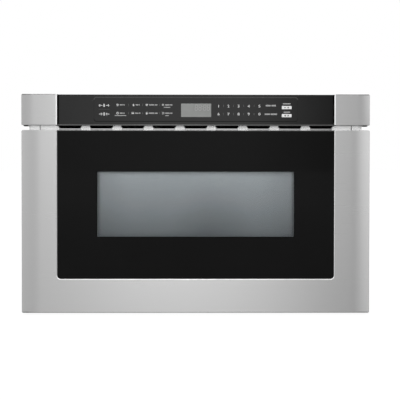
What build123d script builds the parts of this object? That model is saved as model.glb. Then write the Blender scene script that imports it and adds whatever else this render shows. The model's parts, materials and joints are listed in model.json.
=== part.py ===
"""A 24-inch built-in microwave drawer, in millimetres.

The front faces -Y, X runs to the right and Z is up. The origin is at the middle of the shelf that the
cabinet stands on. The cabinet, the oven cavity, the control panel and the drive stay still. The drawer
front, the tub, the carriage rails and the rack slide out towards -Y on two telescopic slides.
"""

import os
from math import acos, cos, pi, radians, sin, sqrt, tan

from build123d import *

# ---- Front: what the kitchen sees
front_width = 606.4
drawer_height = 318.4
panel_height = 54.1
panel_gap = 8.5
shelf_gap = 3.0
overall_depth = 590.0
drawer_thickness = 32.0
seal_gap = 1.5
stile_width = 61.8
bottom_rail_height = 58.9
top_trim_height = 1.3
glass_corner = 7.0
glass_thickness = 4.0
glass_edge = 0.4
glass_recess = 0.5
window_width = 342.8
window_height = 113.6
window_above_glass = 73.6
front_edge_radius = 0.9
front_corner_radius = 1.5

# ---- Sheet metal and moulded walls
door_sheet = 1.0
cover_sheet = 1.0
pan_sheet = 1.2
flange_sheet = 1.5
cavity_sheet = 1.0
tub_sheet = 1.5
bracket_sheet = 1.5
choke_sheet = 1.2
tight_bend = 1.0
moulded_wall = 2.0

# ---- Drawer tub and oven cavity
tub_width = 440.0
tub_height = 128.0
tub_corner = 18.0
tub_floor_bend = 3.0
tub_rim = 4.0
tub_side_gap = 5.5
tub_floor_gap = 3.0
tub_back_gap = 18.0
tray_thickness = 5.0
tray_margin = 2.0
tray_edge = 1.5
head_room = 69.5
seal_width = 30.0
under_cavity = 59.0
service_height = 102.0
rear_space = 132.7
rim_width = 24.0

# ---- Behind the glass: the carrier, the screen, the inner window and the choke
choke_depth = 15.0
choke_cover_corner = 1.5
carrier_front = 4.0
carrier_side_wall = 8.0
carrier_end_wall = 10.0
carrier_rib_inner = 14.0
carrier_rib_outer = 22.0
screen_lap = 13.0
inner_window_lap = 12.0
inner_window_thickness = 3.0
window_corner = 6.0

# ---- Latch hooks, their switches and the bumpers
hook_inset = 12.0
hook_rise = 12.0
hook_thickness = 4.0
hook_height = 12.0
hook_length = 30.0
hook_head = 10.0
hook_neck = 6.0
hook_slope = 3.0
hook_clearance = 1.5
switch_width = 22.0
switch_height = 20.0
switch_depth = 44.0
switch_slot = 34.0
switch_drop = 2.0
bumper_radius = 4.0
bumper_inset = 6.0
bumper_low = 24.0
bumper_drop = 15.4

# ---- Telescopic slides: three members and two ball cages a side
slide_width = 12.7
slide_height = 45.7
slide_sheet = 1.2
slide_bend = 2.0
slide_middle_z = 68.0
slide_setback = 2.0
slide_beyond_tub = 10.0
outer_lip = 3.4
member_depth = 8.7
member_setback = 3.0
inner_member_depth = 6.9
ball_space = 3.5
ball_clearance = 0.3
cage_sheet = 0.8
cage_gap = 0.5
cage_share = 0.463
outer_cage_edge = 8.6
outer_row_depth = 6.0
inner_cage_edge = 9.8
inner_row_depth = 7.5
balls_per_row = 4
rail_gap = 0.8
rail_bend = 2.0
rail_drop = 3.0
rail_tab_rise = 26.0
rail_beyond_rack = 2.0
slide_bracket_rise = 4.0

# ---- Rack and pinion drive
gear_module = 1.5
pinion_teeth = 18
pressure_angle = 20.0
gear_backlash = 0.3
gear_root_fillet = 0.3
gear_width = 9.0
rack_width = 10.0
rack_back = 6.0
rack_beyond_slide = 8.0
rack_setback = 26.0
rack_side_gap = 3.0
rail_floor_gap = 6.0
pinion_from_flange = 46.5
shaft_radius = 4.0
shaft_fit = 0.06
shaft_end_gap = 1.0
gearbox_thickness = 20.0
gearbox_radius = 19.0
gearbox_edge = 1.5
motor_radius = 15.0
motor_length = 50.0
motor_offset = 27.0
motor_foot = 40.0
bearing_hole = 3.0

# ---- Cabinet
flange_lip = 13.3
flange_top_lip = 14.0
pan_lip = 14.0
cover_bend = 3.0
flange_hole_radius = 2.25
flange_hole_low = 70.0
flange_hole_high = 290.0
slide_passage = 2.0
rack_passage = 3.0
wiring_width = 80.0
wiring_drop = 20.0
louvre_count = 6
louvre_pitch = 16.0
louvre_length = 90.0
louvre_width = 6.0
louvre_inset = 70.0
vent_count = 9
vent_pitch = 11.0
vent_width = 6.0

# ---- Vent grille behind the gap above the drawer
grille_inset = 22.5
grille_height = 25.0
grille_seam = 0.6
grille_lap = 5.0
slot_count = 9
slot_end_margin = 28.7
slot_width = 41.2
slot_height = 9.0
slot_corner = 4.0
slot_above_drawer = 3.9
duct_depth = 110.0

# ---- Control panel
cap_width = 61.8
fascia_drop = 0.9
fascia_lip = 1.4
fascia_thickness = 3.0
fascia_recess = 0.6
display_width = 52.3
display_height = 23.3
display_above_panel = 14.4
display_centre = 0.4
display_frame = 3.0
display_depth = 8.0
board_thickness = 1.6
board_margin = 5.0
touch_board_margin = 60.0
standoff_size = 6.0
standoff_height = 8.0
standoff_spacing = 220.0
standoff_rise = 30.0
control_board_width = 240.0
component_height = 9.0
board_components = [(-90.0, 18.0, 20.0), (-62.0, 18.0, 20.0), (60.0, 34.0, 26.0), (98.0, 20.0, 12.0)]

# ---- Above the oven: lamp, stirrer and waveguide
lamp_x = 150.0
lamp_forward = 10.0
lamp_size = 34.0
lamp_wall = 3.0
lamp_height = 22.0
lamp_room = 14.0
lamp_foot_length = 56.0
lamp_foot_width = 14.0
lamp_window = 18.0
stirrer_cover_size = 230.0
stirrer_cover_height = 17.0
stirrer_cover_corner = 12.0
stirrer_radius = 90.0
stirrer_arm_width = 30.0
stirrer_arm_angle = 84.0
stirrer_rise = 7.0
stirrer_hub_radius = 9.0
stirrer_hub_height = 6.0
stirrer_hub_drop = 2.0
vane_length = 30.0
vane_width = 14.0
vane_share = 0.66
vane_offset = 12.0
vane_angle = 30.0
feed_radius = 32.0
stirrer_motor_radius = 25.0
stirrer_motor_height = 16.0
stirrer_motor_edge = 2.0
stirrer_strap_length = 72.0
stirrer_strap_width = 14.0
stirrer_bore = 8.0
waveguide_width = 84.0
waveguide_height = 40.0
waveguide_beyond_oven = 100.5

# ---- Behind the oven: magnetron, transformer, capacitor and line filter
magnetron_setback = 54.5
antenna_radius = 8.0
antenna_height = 26.0
antenna_edge = 3.0
yoke_half = 46.0
yoke_depth = 38.0
yoke_height = 62.0
yoke_sheet = 2.0
yoke_plate = 4.0
yoke_plate_side = 6.0
yoke_plate_end = 4.0
anode_radius = 19.0
fin_count = 4
fin_pitch = 10.0
fin_sheet = 0.8
fin_start = 12.0
fin_setback = 4.0
filter_box_height = 28.0
filter_box_side = 8.0
filter_box_end = 6.0
transformer_x = 100.0
transformer_setback = 64.5
core_half = 46.0
core_depth = 26.0
core_height = 78.0
core_foot = 2.0
core_foot_side = 6.0
core_foot_end = 14.0
coil_window_width = 16.0
coil_window_height = 48.0
coil_window_x = 23.0
coil_width = 62.0
coil_height = 21.0
coil_gap = 5.0
coil_end = 14.0
capacitor_x = -20.0
capacitor_setback = 68.5
can_length = 54.0
can_width = 34.0
can_height = 92.0
terminal_spacing = 22.0
terminal_width = 6.0
terminal_height = 10.0
terminal_sheet = 0.8
filter_x = 200.0
filter_setback = 92.5
filter_length = 56.0
filter_depth = 46.0
filter_rise = 8.0
filter_foot_inset = 6.0
filter_choke_radius = 13.0
filter_choke_height = 12.0
filter_choke_x = -10.0
filter_cap_x = 14.0
filter_cap_spacing = 22.0
filter_cap_size = (16.0, 8.0, 14.0)

# ---- Fan behind the rear vents, and the cord gland
fan_x = -160.0
fan_z = 205.0
fan_frame = 120.0
fan_frame_corner = 6.0
fan_frame_depth = 26.0
fan_bore = 56.0
fan_tip = 54.0
fan_hub = 20.0
fan_hub_depth = 9.0
fan_blades = 7
blade_root_width = 12.0
blade_tip_width = 30.0
blade_angle = 32.0
blade_sheet = 1.4
fan_motor_radius = 16.0
fan_motor_depth = 14.0
fan_motor_edge = 1.5
fan_shaft_radius = 2.5
fan_shaft_length = 8.0
fan_gap = 0.5
spider_depth = 3.0
spider_arm = 6.0
spider_rim = 2.0
gland_x = 230.0
gland_z = 60.0
gland_bore = 4.25
gland_length = 18.0
gland_wall = 3.0
gland_collar = 3.0

# ---- Case screws: hexagon washer heads, with no thread below the sheet that they clamp
screw_radius = 1.9
screw_hole = 2.2
screw_head = 3.5
screw_head_height = 3.0
screw_washer = 5.0
screw_washer_height = 0.8

# ---- Planes and edges that the pieces share, worked out from the sizes above
half_front = front_width / 2
front_y = -overall_depth / 2
drawer_back_y = front_y + drawer_thickness
flange_y = drawer_back_y + seal_gap
flange_back_y = flange_y + flange_sheet
rear_y = overall_depth / 2 - screw_washer_height - screw_head_height
rear_inner_y = rear_y - cover_sheet

drawer_low = shelf_gap
drawer_top = drawer_low + drawer_height
panel_low = drawer_top + panel_gap
panel_top = panel_low + panel_height

oven_back_y = rear_inner_y - rear_space
cavity_back_y = oven_back_y - cavity_sheet
cavity_middle_y = (flange_back_y + cavity_back_y) / 2
tub_back_y = cavity_back_y - tub_back_gap - tub_sheet
tub_depth = tub_back_y - drawer_back_y
tub_half = tub_width / 2
tub_outer = tub_half + tub_sheet
cavity_half = tub_outer + tub_rim + tub_side_gap
cavity_outer = cavity_half + cavity_sheet
cavity_low = under_cavity
cavity_floor_z = cavity_low + cavity_sheet
tub_low = cavity_floor_z + tub_floor_gap
tub_floor_z = tub_low + tub_sheet
tub_top = tub_floor_z + tub_height
ceiling_z = tub_top + head_room
cavity_top = ceiling_z + cavity_sheet

seal_outer = cavity_half + seal_width
seal_low = cavity_floor_z - seal_width
seal_top = ceiling_z + seal_width

rail_x = seal_outer + rail_gap
slide_inner_x = rail_x + bracket_sheet
slide_outer_x = slide_inner_x + slide_width
bracket_x = slide_outer_x + bracket_sheet
body_inner = bracket_x + pan_sheet
body_half = body_inner + cover_sheet
body_top = cavity_top + service_height + cover_sheet
flange_half = body_half + flange_lip
flange_top = body_top + flange_top_lip
slide_length = tub_depth + slide_beyond_tub
slide_front_y = flange_back_y + slide_setback
slide_back_y = slide_front_y + slide_length
slide_middle_y = (slide_front_y + slide_back_y) / 2
cage_length = cage_share * slide_length

pitch_radius = gear_module * pinion_teeth / 2
addendum = gear_module
dedendum = 1.25 * gear_module
rail_low = rail_floor_gap
rack_low = rail_low + bracket_sheet
pitch_z = rack_low + rack_back + dedendum
pinion_z = pitch_z + pitch_radius
pinion_y = flange_y + pinion_from_flange
rack_outer_x = rail_x - rack_side_gap
rack_inner_x = rack_outer_x - rack_width
rack_front_y = flange_y + rack_setback
rack_back_y = rack_front_y + slide_length + rack_beyond_slide

glass_half = half_front - stile_width
glass_low = drawer_low + bottom_rail_height
glass_top = drawer_top - top_trim_height
glass_y = front_y + glass_recess
glass_back_y = glass_y + glass_thickness
window_low = glass_low + window_above_glass
window_top = window_low + window_height
choke_y = drawer_back_y - choke_depth
hook_x = seal_outer - hook_inset
hook_z = seal_top + hook_rise

grille_width = 2 * (flange_half - grille_inset)
slot_pitch = (grille_width - 2 * slot_end_margin - slot_width) / (slot_count - 1)
slot_middle = drawer_top + slot_above_drawer + slot_height / 2
grille_low = slot_middle - grille_height / 2
grille_top = slot_middle + grille_height / 2
grille_slots = [(index - (slot_count - 1) / 2) * slot_pitch for index in range(slot_count)]
wiring_edges = (-wiring_width / 2, wiring_width / 2)
wiring_heights = (grille_top + 2 * grille_lap, panel_top - wiring_drop)

stirrer_y = cavity_middle_y
lamp_y = stirrer_y - lamp_forward
magnetron_y = oven_back_y + magnetron_setback
transformer_y = oven_back_y + transformer_setback
capacitor_y = oven_back_y + capacitor_setback
filter_y = oven_back_y + filter_setback


# ---- Small helpers
def facing_front(y):
    """The upright plane at depth y, seen from the front: x right, z up, growing towards the viewer."""
    return Plane.XZ.offset(-y)


def level(z):
    """The level plane at height z, growing upwards."""
    return Plane.XY.offset(z)


def crosswise(x):
    """The upright plane across the drawer at x: y to the rear, z up, growing towards +X."""
    return Plane.YZ.offset(x)


def around(centre, size):
    """The two edges of something that lies evenly about its centre."""
    return (centre - size / 2, centre + size / 2)


def panel(plane, across, up, thickness, corner=0.0, mode=Mode.ADD):
    """A flat rectangle between two edges across and two up, extruded from its plane."""
    with BuildSketch(plane) as outline:
        with Locations(((across[0] + across[1]) / 2, (up[0] + up[1]) / 2)):
            if corner > 0:
                RectangleRounded(across[1] - across[0], up[1] - up[0], corner)
            else:
                Rectangle(across[1] - across[0], up[1] - up[0])
    extrude(outline.sketch, amount=thickness, mode=mode)


def disc(plane, centre, radius, depth, mode=Mode.ADD):
    """A round disc, pin or hole, extruded from its plane."""
    with BuildSketch(plane) as outline:
        with Locations(centre):
            Circle(radius)
    extrude(outline.sketch, amount=depth, mode=mode)


def round_holes(plane, centres, radius, depth):
    """Round holes of one size, cut from a plane."""
    for centre in centres:
        disc(plane, centre, radius, depth, mode=Mode.SUBTRACT)


def folded_sheet(plane, corners, thickness, bend, length, side=Side.LEFT):
    """A strip of sheet, folded at the corners and extruded. The sheet lies on one side of the line."""
    with BuildSketch(plane) as section:
        with BuildLine():
            FilletPolyline(*corners, radius=bend)
            offset(amount=thickness, side=side)
        make_face()
    extrude(section.sketch, amount=length)


def glass_outline(plane, half, low, top, corner):
    """A face with only its two lower corners rounded, like the glass and what holds it."""
    with BuildSketch(plane) as outline:
        with BuildLine():
            FilletPolyline((half, top), (half, low), (-half, low), (-half, top), radius=corner)
            Line((-half, top), (half, top))
        make_face()
    return outline.sketch


def write(part, name):
    """Label a finished piece and write its own file."""
    part.label = name
    export_step(part, f"parts/{name}.step")


def write_pair(right, name):
    """Write a right-hand piece and its mirror image on the left."""
    write(right, f"{name}_right")
    with BuildPart() as left:
        mirror(right, about=Plane.YZ)
    write(left.part, f"{name}_left")


os.makedirs("parts", exist_ok=True)

# ---- Places of the case screws, which the cover, the rear panel and the screws share
side_screw_y = [flange_back_y + share * (rear_inner_y - flange_back_y) for share in (0.15, 0.85)]
rear_screw_x = [share * body_inner for share in (-0.8, 0.0, 0.8)]
screw_z = pan_lip * 0.6

# ---- Cabinet
with BuildPart() as base_pan:
    panel(level(0), (-body_inner, body_inner), (flange_back_y, rear_inner_y), pan_lip)
    panel(
        level(pan_sheet),
        (-body_inner + pan_sheet, body_inner - pan_sheet),
        (flange_back_y, rear_inner_y - pan_sheet),
        pan_lip,
        mode=Mode.SUBTRACT,
    )
write(base_pan.part, "base_pan")

with BuildPart() as outer_cover:
    folded_sheet(
        facing_front(rear_y),
        [(body_half, pan_sheet), (body_half, body_top), (-body_half, body_top), (-body_half, pan_sheet)],
        cover_sheet,
        cover_bend,
        rear_y - flange_back_y,
    )
    round_holes(crosswise(-body_half), [(y, screw_z) for y in side_screw_y], screw_hole, 2 * body_half)
    for index in range(louvre_count):
        louvre_y = rear_y - louvre_inset + (index - (louvre_count - 1) / 2) * louvre_pitch
        panel(
            crosswise(-body_half),
            around(louvre_y, louvre_width),
            around(fan_z, louvre_length),
            2 * body_half,
            mode=Mode.SUBTRACT,
        )
write(outer_cover.part, "outer_cover")

with BuildPart() as rear_panel:
    panel(
        facing_front(rear_y),
        (-body_inner, body_inner),
        (pan_sheet, body_top - cover_sheet),
        cover_sheet,
        corner=cover_bend - cover_sheet,
    )
    round_holes(facing_front(rear_y), [(x, screw_z) for x in rear_screw_x], screw_hole, cover_sheet)
    round_holes(facing_front(rear_y), [(gland_x, gland_z)], gland_bore + gland_wall, cover_sheet)
    # the fan's vents are as tall as the round opening behind them
    for index in range(vent_count):
        vent_x = (index - (vent_count - 1) / 2) * vent_pitch
        panel(
            facing_front(rear_y),
            around(fan_x + vent_x, vent_width),
            around(fan_z, 2 * sqrt(fan_tip**2 - vent_x**2)),
            cover_sheet,
            mode=Mode.SUBTRACT,
        )
write(rear_panel.part, "rear_panel")

flange_bolts = [
    (side * (body_half + flange_lip / 2), height)
    for side in (-1, 1)
    for height in (flange_hole_low, flange_hole_high)
]
flange_cuts = [
    # the mouth of the oven, the cut-out that the vent grille fills and the wiring hole behind the panel
    ((-cavity_half, cavity_half), (cavity_floor_z, ceiling_z)),
    (around(0, grille_width + 2 * grille_seam), around(slot_middle, grille_height + 2 * grille_seam)),
    (wiring_edges, wiring_heights),
]
hook_passage = 2 * hook_clearance
for side in (-1, 1):
    # the passages of the carriage rail with its slide, of the rack below it and of the latch hook
    flange_cuts += [
        (
            sorted((side * (rail_x - rail_gap), side * body_inner)),
            (0, slide_middle_z + slide_height / 2 + slide_passage),
        ),
        (
            sorted((side * (rack_inner_x - rack_width), side * body_inner)),
            (0, pitch_z + addendum + rack_passage),
        ),
        (around(side * hook_x, hook_thickness + hook_passage), around(hook_z, hook_height + hook_passage)),
    ]
with BuildPart() as front_flange:
    panel(
        facing_front(flange_back_y),
        (-flange_half, flange_half),
        (rail_floor_gap, flange_top),
        flange_sheet,
    )
    for across, up in flange_cuts:
        panel(facing_front(flange_back_y), across, up, flange_sheet, mode=Mode.SUBTRACT)
    round_holes(facing_front(flange_back_y), flange_bolts, flange_hole_radius, flange_sheet)
write(front_flange.part, "front_flange")

# The grille's face lies flush in the flange's cut-out, and its wider back plate laps it from behind.
grille_back_y = flange_back_y + cover_sheet
with BuildPart() as vent_grille:
    panel(
        facing_front(flange_back_y),
        around(0, grille_width),
        (grille_low, grille_top),
        flange_sheet,
    )
    panel(
        facing_front(grille_back_y),
        around(0, grille_width + 2 * grille_lap),
        (grille_low - grille_lap, grille_top + grille_lap),
        cover_sheet,
    )
    with BuildSketch(facing_front(grille_back_y)) as slots:
        with Locations(*[(x, slot_middle) for x in grille_slots]):
            RectangleRounded(slot_width, slot_height, slot_corner)
    extrude(slots.sketch, amount=flange_sheet + cover_sheet, mode=Mode.SUBTRACT)
write(vent_grille.part, "vent_grille")

duct_width = grille_width + 2 * grille_lap
duct_height = grille_height + 2 * grille_lap
with BuildPart() as exhaust_duct:
    panel(
        facing_front(grille_back_y + duct_depth),
        around(0, duct_width),
        around(slot_middle, duct_height),
        duct_depth,
    )
    panel(
        facing_front(grille_back_y + duct_depth),
        around(0, duct_width - 2 * moulded_wall),
        around(slot_middle, duct_height - 2 * moulded_wall),
        duct_depth,
        mode=Mode.SUBTRACT,
    )
write(exhaust_duct.part, "exhaust_duct")

# ---- Oven cavity: a sheet box with a rim welded to the back of the flange
with BuildPart() as oven_cavity:
    panel(
        facing_front(oven_back_y),
        (-cavity_outer, cavity_outer),
        (cavity_low, cavity_top),
        oven_back_y - flange_back_y,
    )
    panel(
        facing_front(flange_back_y + cavity_sheet),
        (-cavity_half - rim_width, cavity_half + rim_width),
        (cavity_floor_z - rim_width, ceiling_z + rim_width),
        cavity_sheet,
    )
    panel(
        facing_front(cavity_back_y),
        (-cavity_half, cavity_half),
        (cavity_floor_z, ceiling_z),
        cavity_back_y - flange_back_y,
        mode=Mode.SUBTRACT,
    )
    # the microwaves come in above the stirrer, and the light of the lamp beside it
    round_holes(level(ceiling_z), [(0, stirrer_y)], feed_radius, cavity_sheet)
    panel(
        level(ceiling_z),
        around(lamp_x, lamp_window),
        around(lamp_y, lamp_window),
        cavity_sheet,
        mode=Mode.SUBTRACT,
    )
write(oven_cavity.part, "oven_cavity")

stirrer_cover_z = ceiling_z - stirrer_cover_height
with BuildPart() as stirrer_cover:
    panel(
        level(stirrer_cover_z),
        around(0, stirrer_cover_size),
        around(stirrer_y, stirrer_cover_size),
        stirrer_cover_height,
        corner=stirrer_cover_corner,
    )
    offset(amount=-tub_sheet, openings=stirrer_cover.faces().sort_by(Axis.Z)[-1], kind=Kind.INTERSECTION)
write(stirrer_cover.part, "stirrer_cover")

with BuildPart() as cavity_lamp:
    panel(
        level(cavity_top),
        around(lamp_x, lamp_foot_length),
        around(lamp_y, lamp_foot_width),
        cavity_sheet,
    )
    panel(
        level(cavity_top),
        around(lamp_x, lamp_size),
        around(lamp_y, lamp_size),
        lamp_height,
        corner=lamp_wall,
    )
    panel(
        level(cavity_top),
        around(lamp_x, lamp_size - 2 * lamp_wall),
        around(lamp_y, lamp_size - 2 * lamp_wall),
        lamp_room,
        mode=Mode.SUBTRACT,
    )
write(cavity_lamp.part, "cavity_lamp")

# ---- Microwave source
waveguide_top = cavity_top + waveguide_height
waveguide_start = stirrer_y - waveguide_width / 2
waveguide_end = oven_back_y + waveguide_beyond_oven
with BuildPart() as waveguide:
    panel(
        level(cavity_top),
        around(0, waveguide_width),
        (waveguide_start, waveguide_end),
        waveguide_height,
    )
    panel(
        level(cavity_top + cavity_sheet),
        around(0, waveguide_width - 2 * cavity_sheet),
        (waveguide_start + cavity_sheet, waveguide_end - cavity_sheet),
        waveguide_height - 2 * cavity_sheet,
        mode=Mode.SUBTRACT,
    )
    round_holes(level(cavity_top), [(0, stirrer_y)], feed_radius, cavity_sheet)
    round_holes(
        level(waveguide_top - cavity_sheet), [(0, stirrer_y)], shaft_radius + cavity_sheet, cavity_sheet
    )
    round_holes(level(cavity_top), [(0, magnetron_y)], antenna_radius + moulded_wall, cavity_sheet)
write(waveguide.part, "waveguide")

yoke_top = cavity_top - yoke_plate
yoke_low = yoke_top - yoke_height
with BuildPart() as magnetron:
    # the mounting plate and the antenna, which stands up into the waveguide
    panel(
        level(yoke_top),
        around(0, 2 * (yoke_half + yoke_plate_side)),
        around(magnetron_y, 2 * (yoke_depth + yoke_plate_end)),
        yoke_plate,
    )
    disc(level(cavity_top), (0, magnetron_y), antenna_radius, antenna_height)
    chamfer(magnetron.edges().group_by(Axis.Z)[-1], antenna_edge)
    # the open yoke, with the fins on the anode inside it
    panel(
        level(yoke_low),
        around(0, 2 * yoke_half),
        around(magnetron_y, 2 * yoke_depth),
        yoke_height,
    )
    panel(
        level(yoke_low + yoke_sheet),
        around(0, 2 * (yoke_half - yoke_sheet)),
        around(magnetron_y, 2 * yoke_depth),
        yoke_height - 2 * yoke_sheet,
        mode=Mode.SUBTRACT,
    )
    disc(level(yoke_low + yoke_sheet / 2), (0, magnetron_y), anode_radius, yoke_height - yoke_sheet)
    for fin in range(fin_count):
        panel(
            level(yoke_low + fin_start + fin * fin_pitch),
            around(0, 2 * yoke_half - yoke_sheet),
            around(magnetron_y, 2 * (yoke_depth - fin_setback)),
            fin_sheet,
        )
    # the filter box under the yoke
    panel(
        level(yoke_low - filter_box_height),
        around(0, 2 * (yoke_half - filter_box_side)),
        around(magnetron_y, 2 * (yoke_depth - filter_box_end)),
        filter_box_height,
    )
write(magnetron.part, "magnetron")

core_low = pan_sheet + core_foot
core_middle = core_low + core_height / 2
coil_reach = core_depth + coil_end
with BuildPart() as transformer:
    panel(
        level(pan_sheet),
        around(transformer_x, 2 * (core_half + core_foot_side)),
        around(transformer_y, 2 * (core_depth + core_foot_end)),
        core_foot,
    )
    panel(
        level(core_low),
        around(transformer_x, 2 * core_half),
        around(transformer_y, 2 * core_depth),
        core_height,
    )
    for side in (-1, 1):
        # the window of the core, and the coil that stands out through it at both ends
        panel(
            facing_front(transformer_y + core_depth),
            around(transformer_x + side * coil_window_x, coil_window_width),
            around(core_middle, coil_window_height),
            2 * core_depth,
            mode=Mode.SUBTRACT,
        )
    for side in (-1, 1):
        panel(
            facing_front(transformer_y + coil_reach),
            around(transformer_x, coil_width),
            around(core_middle + side * (coil_height + coil_gap) / 2, coil_height),
            2 * coil_reach,
        )
write(transformer.part, "transformer")

with BuildPart() as capacitor:
    with BuildSketch(level(pan_sheet)) as can:
        with Locations((capacitor_x, capacitor_y)):
            SlotOverall(can_length, can_width, rotation=90)
    extrude(can.sketch, amount=can_height)
    for side in (-1, 1):
        panel(
            level(pan_sheet + can_height),
            around(capacitor_x, terminal_width),
            around(capacitor_y + side * terminal_spacing / 2, terminal_sheet),
            terminal_height,
        )
write(capacitor.part, "capacitor")

with BuildPart() as stirrer_motor:
    disc(level(waveguide_top), (0, stirrer_y), stirrer_motor_radius, stirrer_motor_height)
    chamfer(stirrer_motor.edges().group_by(Axis.Z)[-1], stirrer_motor_edge)
    panel(
        level(waveguide_top),
        around(0, stirrer_strap_length),
        around(stirrer_y, stirrer_strap_width),
        cavity_sheet,
    )
    round_holes(level(waveguide_top), [(0, stirrer_y)], shaft_radius + shaft_fit, stirrer_bore)
write(stirrer_motor.part, "stirrer_motor")

blade_z = stirrer_cover_z + stirrer_rise
with BuildPart() as stirrer_blade:
    disc(level(blade_z - stirrer_hub_drop), (0, stirrer_y), stirrer_hub_radius, stirrer_hub_height)
    disc(
        level(blade_z),
        (0, stirrer_y),
        shaft_radius,
        waveguide_top + stirrer_bore - shaft_end_gap - blade_z,
    )
    with BuildSketch(level(blade_z)) as arms:
        with Locations((0, stirrer_y)):
            with PolarLocations(0, 4):
                with Locations((stirrer_radius / 2, 0)):
                    Trapezoid(stirrer_arm_width, stirrer_radius, stirrer_arm_angle, rotation=90)
    extrude(arms.sketch, amount=cavity_sheet)
    # one edge of each arm is bent up
    with Locations((0, stirrer_y, blade_z)):
        with PolarLocations(0, 4):
            with Locations(Location((stirrer_radius * vane_share, vane_offset, 0), (vane_angle, 0, 0))):
                Box(vane_length, vane_width, cavity_sheet, align=(Align.CENTER, Align.MIN, Align.MIN))
write(stirrer_blade.part, "stirrer_blade")

# ---- Cooling fan behind the rear vents
with BuildPart() as fan_shroud:
    panel(
        facing_front(rear_inner_y),
        around(fan_x, fan_frame),
        around(fan_z, fan_frame),
        fan_frame_depth,
        corner=fan_frame_corner,
    )
    disc(facing_front(rear_inner_y), (fan_x, fan_z), fan_bore, fan_frame_depth, mode=Mode.SUBTRACT)
    # the spider carries the motor in the middle of the bore
    with BuildSketch(facing_front(rear_inner_y)) as spider:
        with Locations((fan_x, fan_z)):
            Circle(fan_motor_radius + spider_rim)
            with PolarLocations(0, 4, start_angle=45):
                with Locations(((fan_bore + spider_rim) / 2, 0)):
                    Rectangle(fan_bore + spider_rim, spider_arm)
            Circle(fan_motor_radius - 3 * spider_rim, mode=Mode.SUBTRACT)
    extrude(spider.sketch, amount=spider_depth)
write(fan_shroud.part, "fan_shroud")

fan_motor_y = rear_inner_y - spider_depth
fan_motor_front = fan_motor_y - fan_motor_depth
fan_shaft_end = fan_motor_front + fan_shaft_length
with BuildPart() as fan_motor:
    disc(facing_front(fan_motor_y), (fan_x, fan_z), fan_motor_radius, fan_motor_depth)
    chamfer(fan_motor.edges().group_by(Axis.Y)[0], fan_motor_edge)
    round_holes(
        facing_front(fan_shaft_end + shaft_end_gap),
        [(fan_x, fan_z)],
        fan_shaft_radius + shaft_fit,
        fan_shaft_length + shaft_end_gap,
    )
write(fan_motor.part, "fan_motor")

fan_rotor_y = fan_motor_front - fan_gap
blade_end = fan_hub - blade_sheet
blade_chord = blade_tip_width / 2 * cos(radians(blade_angle))
blade_reach = sqrt(fan_tip**2 - blade_chord**2)
with BuildPart() as fan_rotor:
    # the shaft runs back into the motor, and the blades stand at a pitch round the hub
    disc(facing_front(fan_rotor_y), (fan_x, fan_z), fan_hub, fan_hub_depth)
    disc(facing_front(fan_shaft_end), (fan_x, fan_z), fan_shaft_radius, fan_shaft_end - fan_rotor_y)
    for blade in range(fan_blades):
        spoke = Location((fan_x, fan_rotor_y - fan_hub_depth / 2, fan_z), (0, 360 / fan_blades * blade, 0))
        pitched = Plane(spoke * Location((0, 0, 0), (90 - blade_angle, 0, 0)))
        with BuildSketch(pitched) as blade_shape:
            Polygon(
                (blade_end, -blade_root_width / 2),
                (blade_reach, -blade_tip_width / 2),
                (blade_reach, blade_tip_width / 2),
                (blade_end, blade_root_width / 2),
                align=None,
            )
        extrude(blade_shape.sketch, amount=blade_sheet / 2, both=True)
write(fan_rotor.part, "fan_rotor")

# ---- Mains side: the gland that the cord would enter by, and the line filter beside it
gland_outer_y = rear_y + gland_collar
with BuildPart() as cord_gland:
    disc(
        facing_front(gland_outer_y),
        (gland_x, gland_z),
        gland_bore + gland_wall + gland_collar,
        gland_collar,
    )
    chamfer(cord_gland.edges().group_by(Axis.Y)[-1], gland_collar / 3)
    disc(facing_front(rear_y), (gland_x, gland_z), gland_bore + gland_wall, gland_length - gland_collar)
    with BuildSketch(facing_front(rear_inner_y)) as nut:
        with Locations((gland_x, gland_z)):
            RegularPolygon(gland_bore + 2 * gland_wall, 6)
    extrude(nut.sketch, amount=2 * gland_collar)
    round_holes(facing_front(gland_outer_y), [(gland_x, gland_z)], gland_bore, gland_length)
write(cord_gland.part, "cord_gland")

filter_board_z = pan_sheet + filter_rise
filter_parts_z = filter_board_z + board_thickness
with BuildPart() as line_filter:
    # the board stands on four feet on the base pan, with a choke and two capacitors
    for foot_x in around(filter_x, filter_length - 2 * filter_foot_inset):
        for foot_y in around(filter_y, filter_depth - 2 * filter_foot_inset):
            panel(
                level(pan_sheet), around(foot_x, standoff_size), around(foot_y, standoff_size), filter_rise
            )
    panel(
        level(filter_board_z),
        around(filter_x, filter_length),
        around(filter_y, filter_depth),
        board_thickness,
    )
    disc(
        level(filter_parts_z),
        (filter_x + filter_choke_x, filter_y),
        filter_choke_radius,
        filter_choke_height,
    )
    for side in (-1, 1):
        panel(
            level(filter_parts_z),
            around(filter_x + filter_cap_x, filter_cap_size[0]),
            around(filter_y + side * filter_cap_spacing / 2, filter_cap_size[1]),
            filter_cap_size[2],
        )
write(line_filter.part, "line_filter")

# ---- Drive: gearmotor, pinion and rack
gearbox_x = rack_inner_x - rack_width / 2
bracket_back = gearbox_x - bracket_sheet
gearbox_bore = gearbox_thickness / 2
motor_y = pinion_y + motor_offset
with BuildPart() as motor_bracket:
    folded_sheet(
        facing_front(motor_y + motor_radius),
        [
            (bracket_back - motor_foot, pan_sheet + bracket_sheet),
            (bracket_back, pan_sheet + bracket_sheet),
            (bracket_back, pinion_z + gearbox_radius),
        ],
        bracket_sheet,
        tight_bend,
        motor_y - pinion_y + motor_radius + gearbox_radius,
        side=Side.RIGHT,
    )
    round_holes(crosswise(bracket_back), [(pinion_y, pinion_z)], shaft_radius + bearing_hole, bracket_sheet)
write(motor_bracket.part, "motor_bracket")

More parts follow.
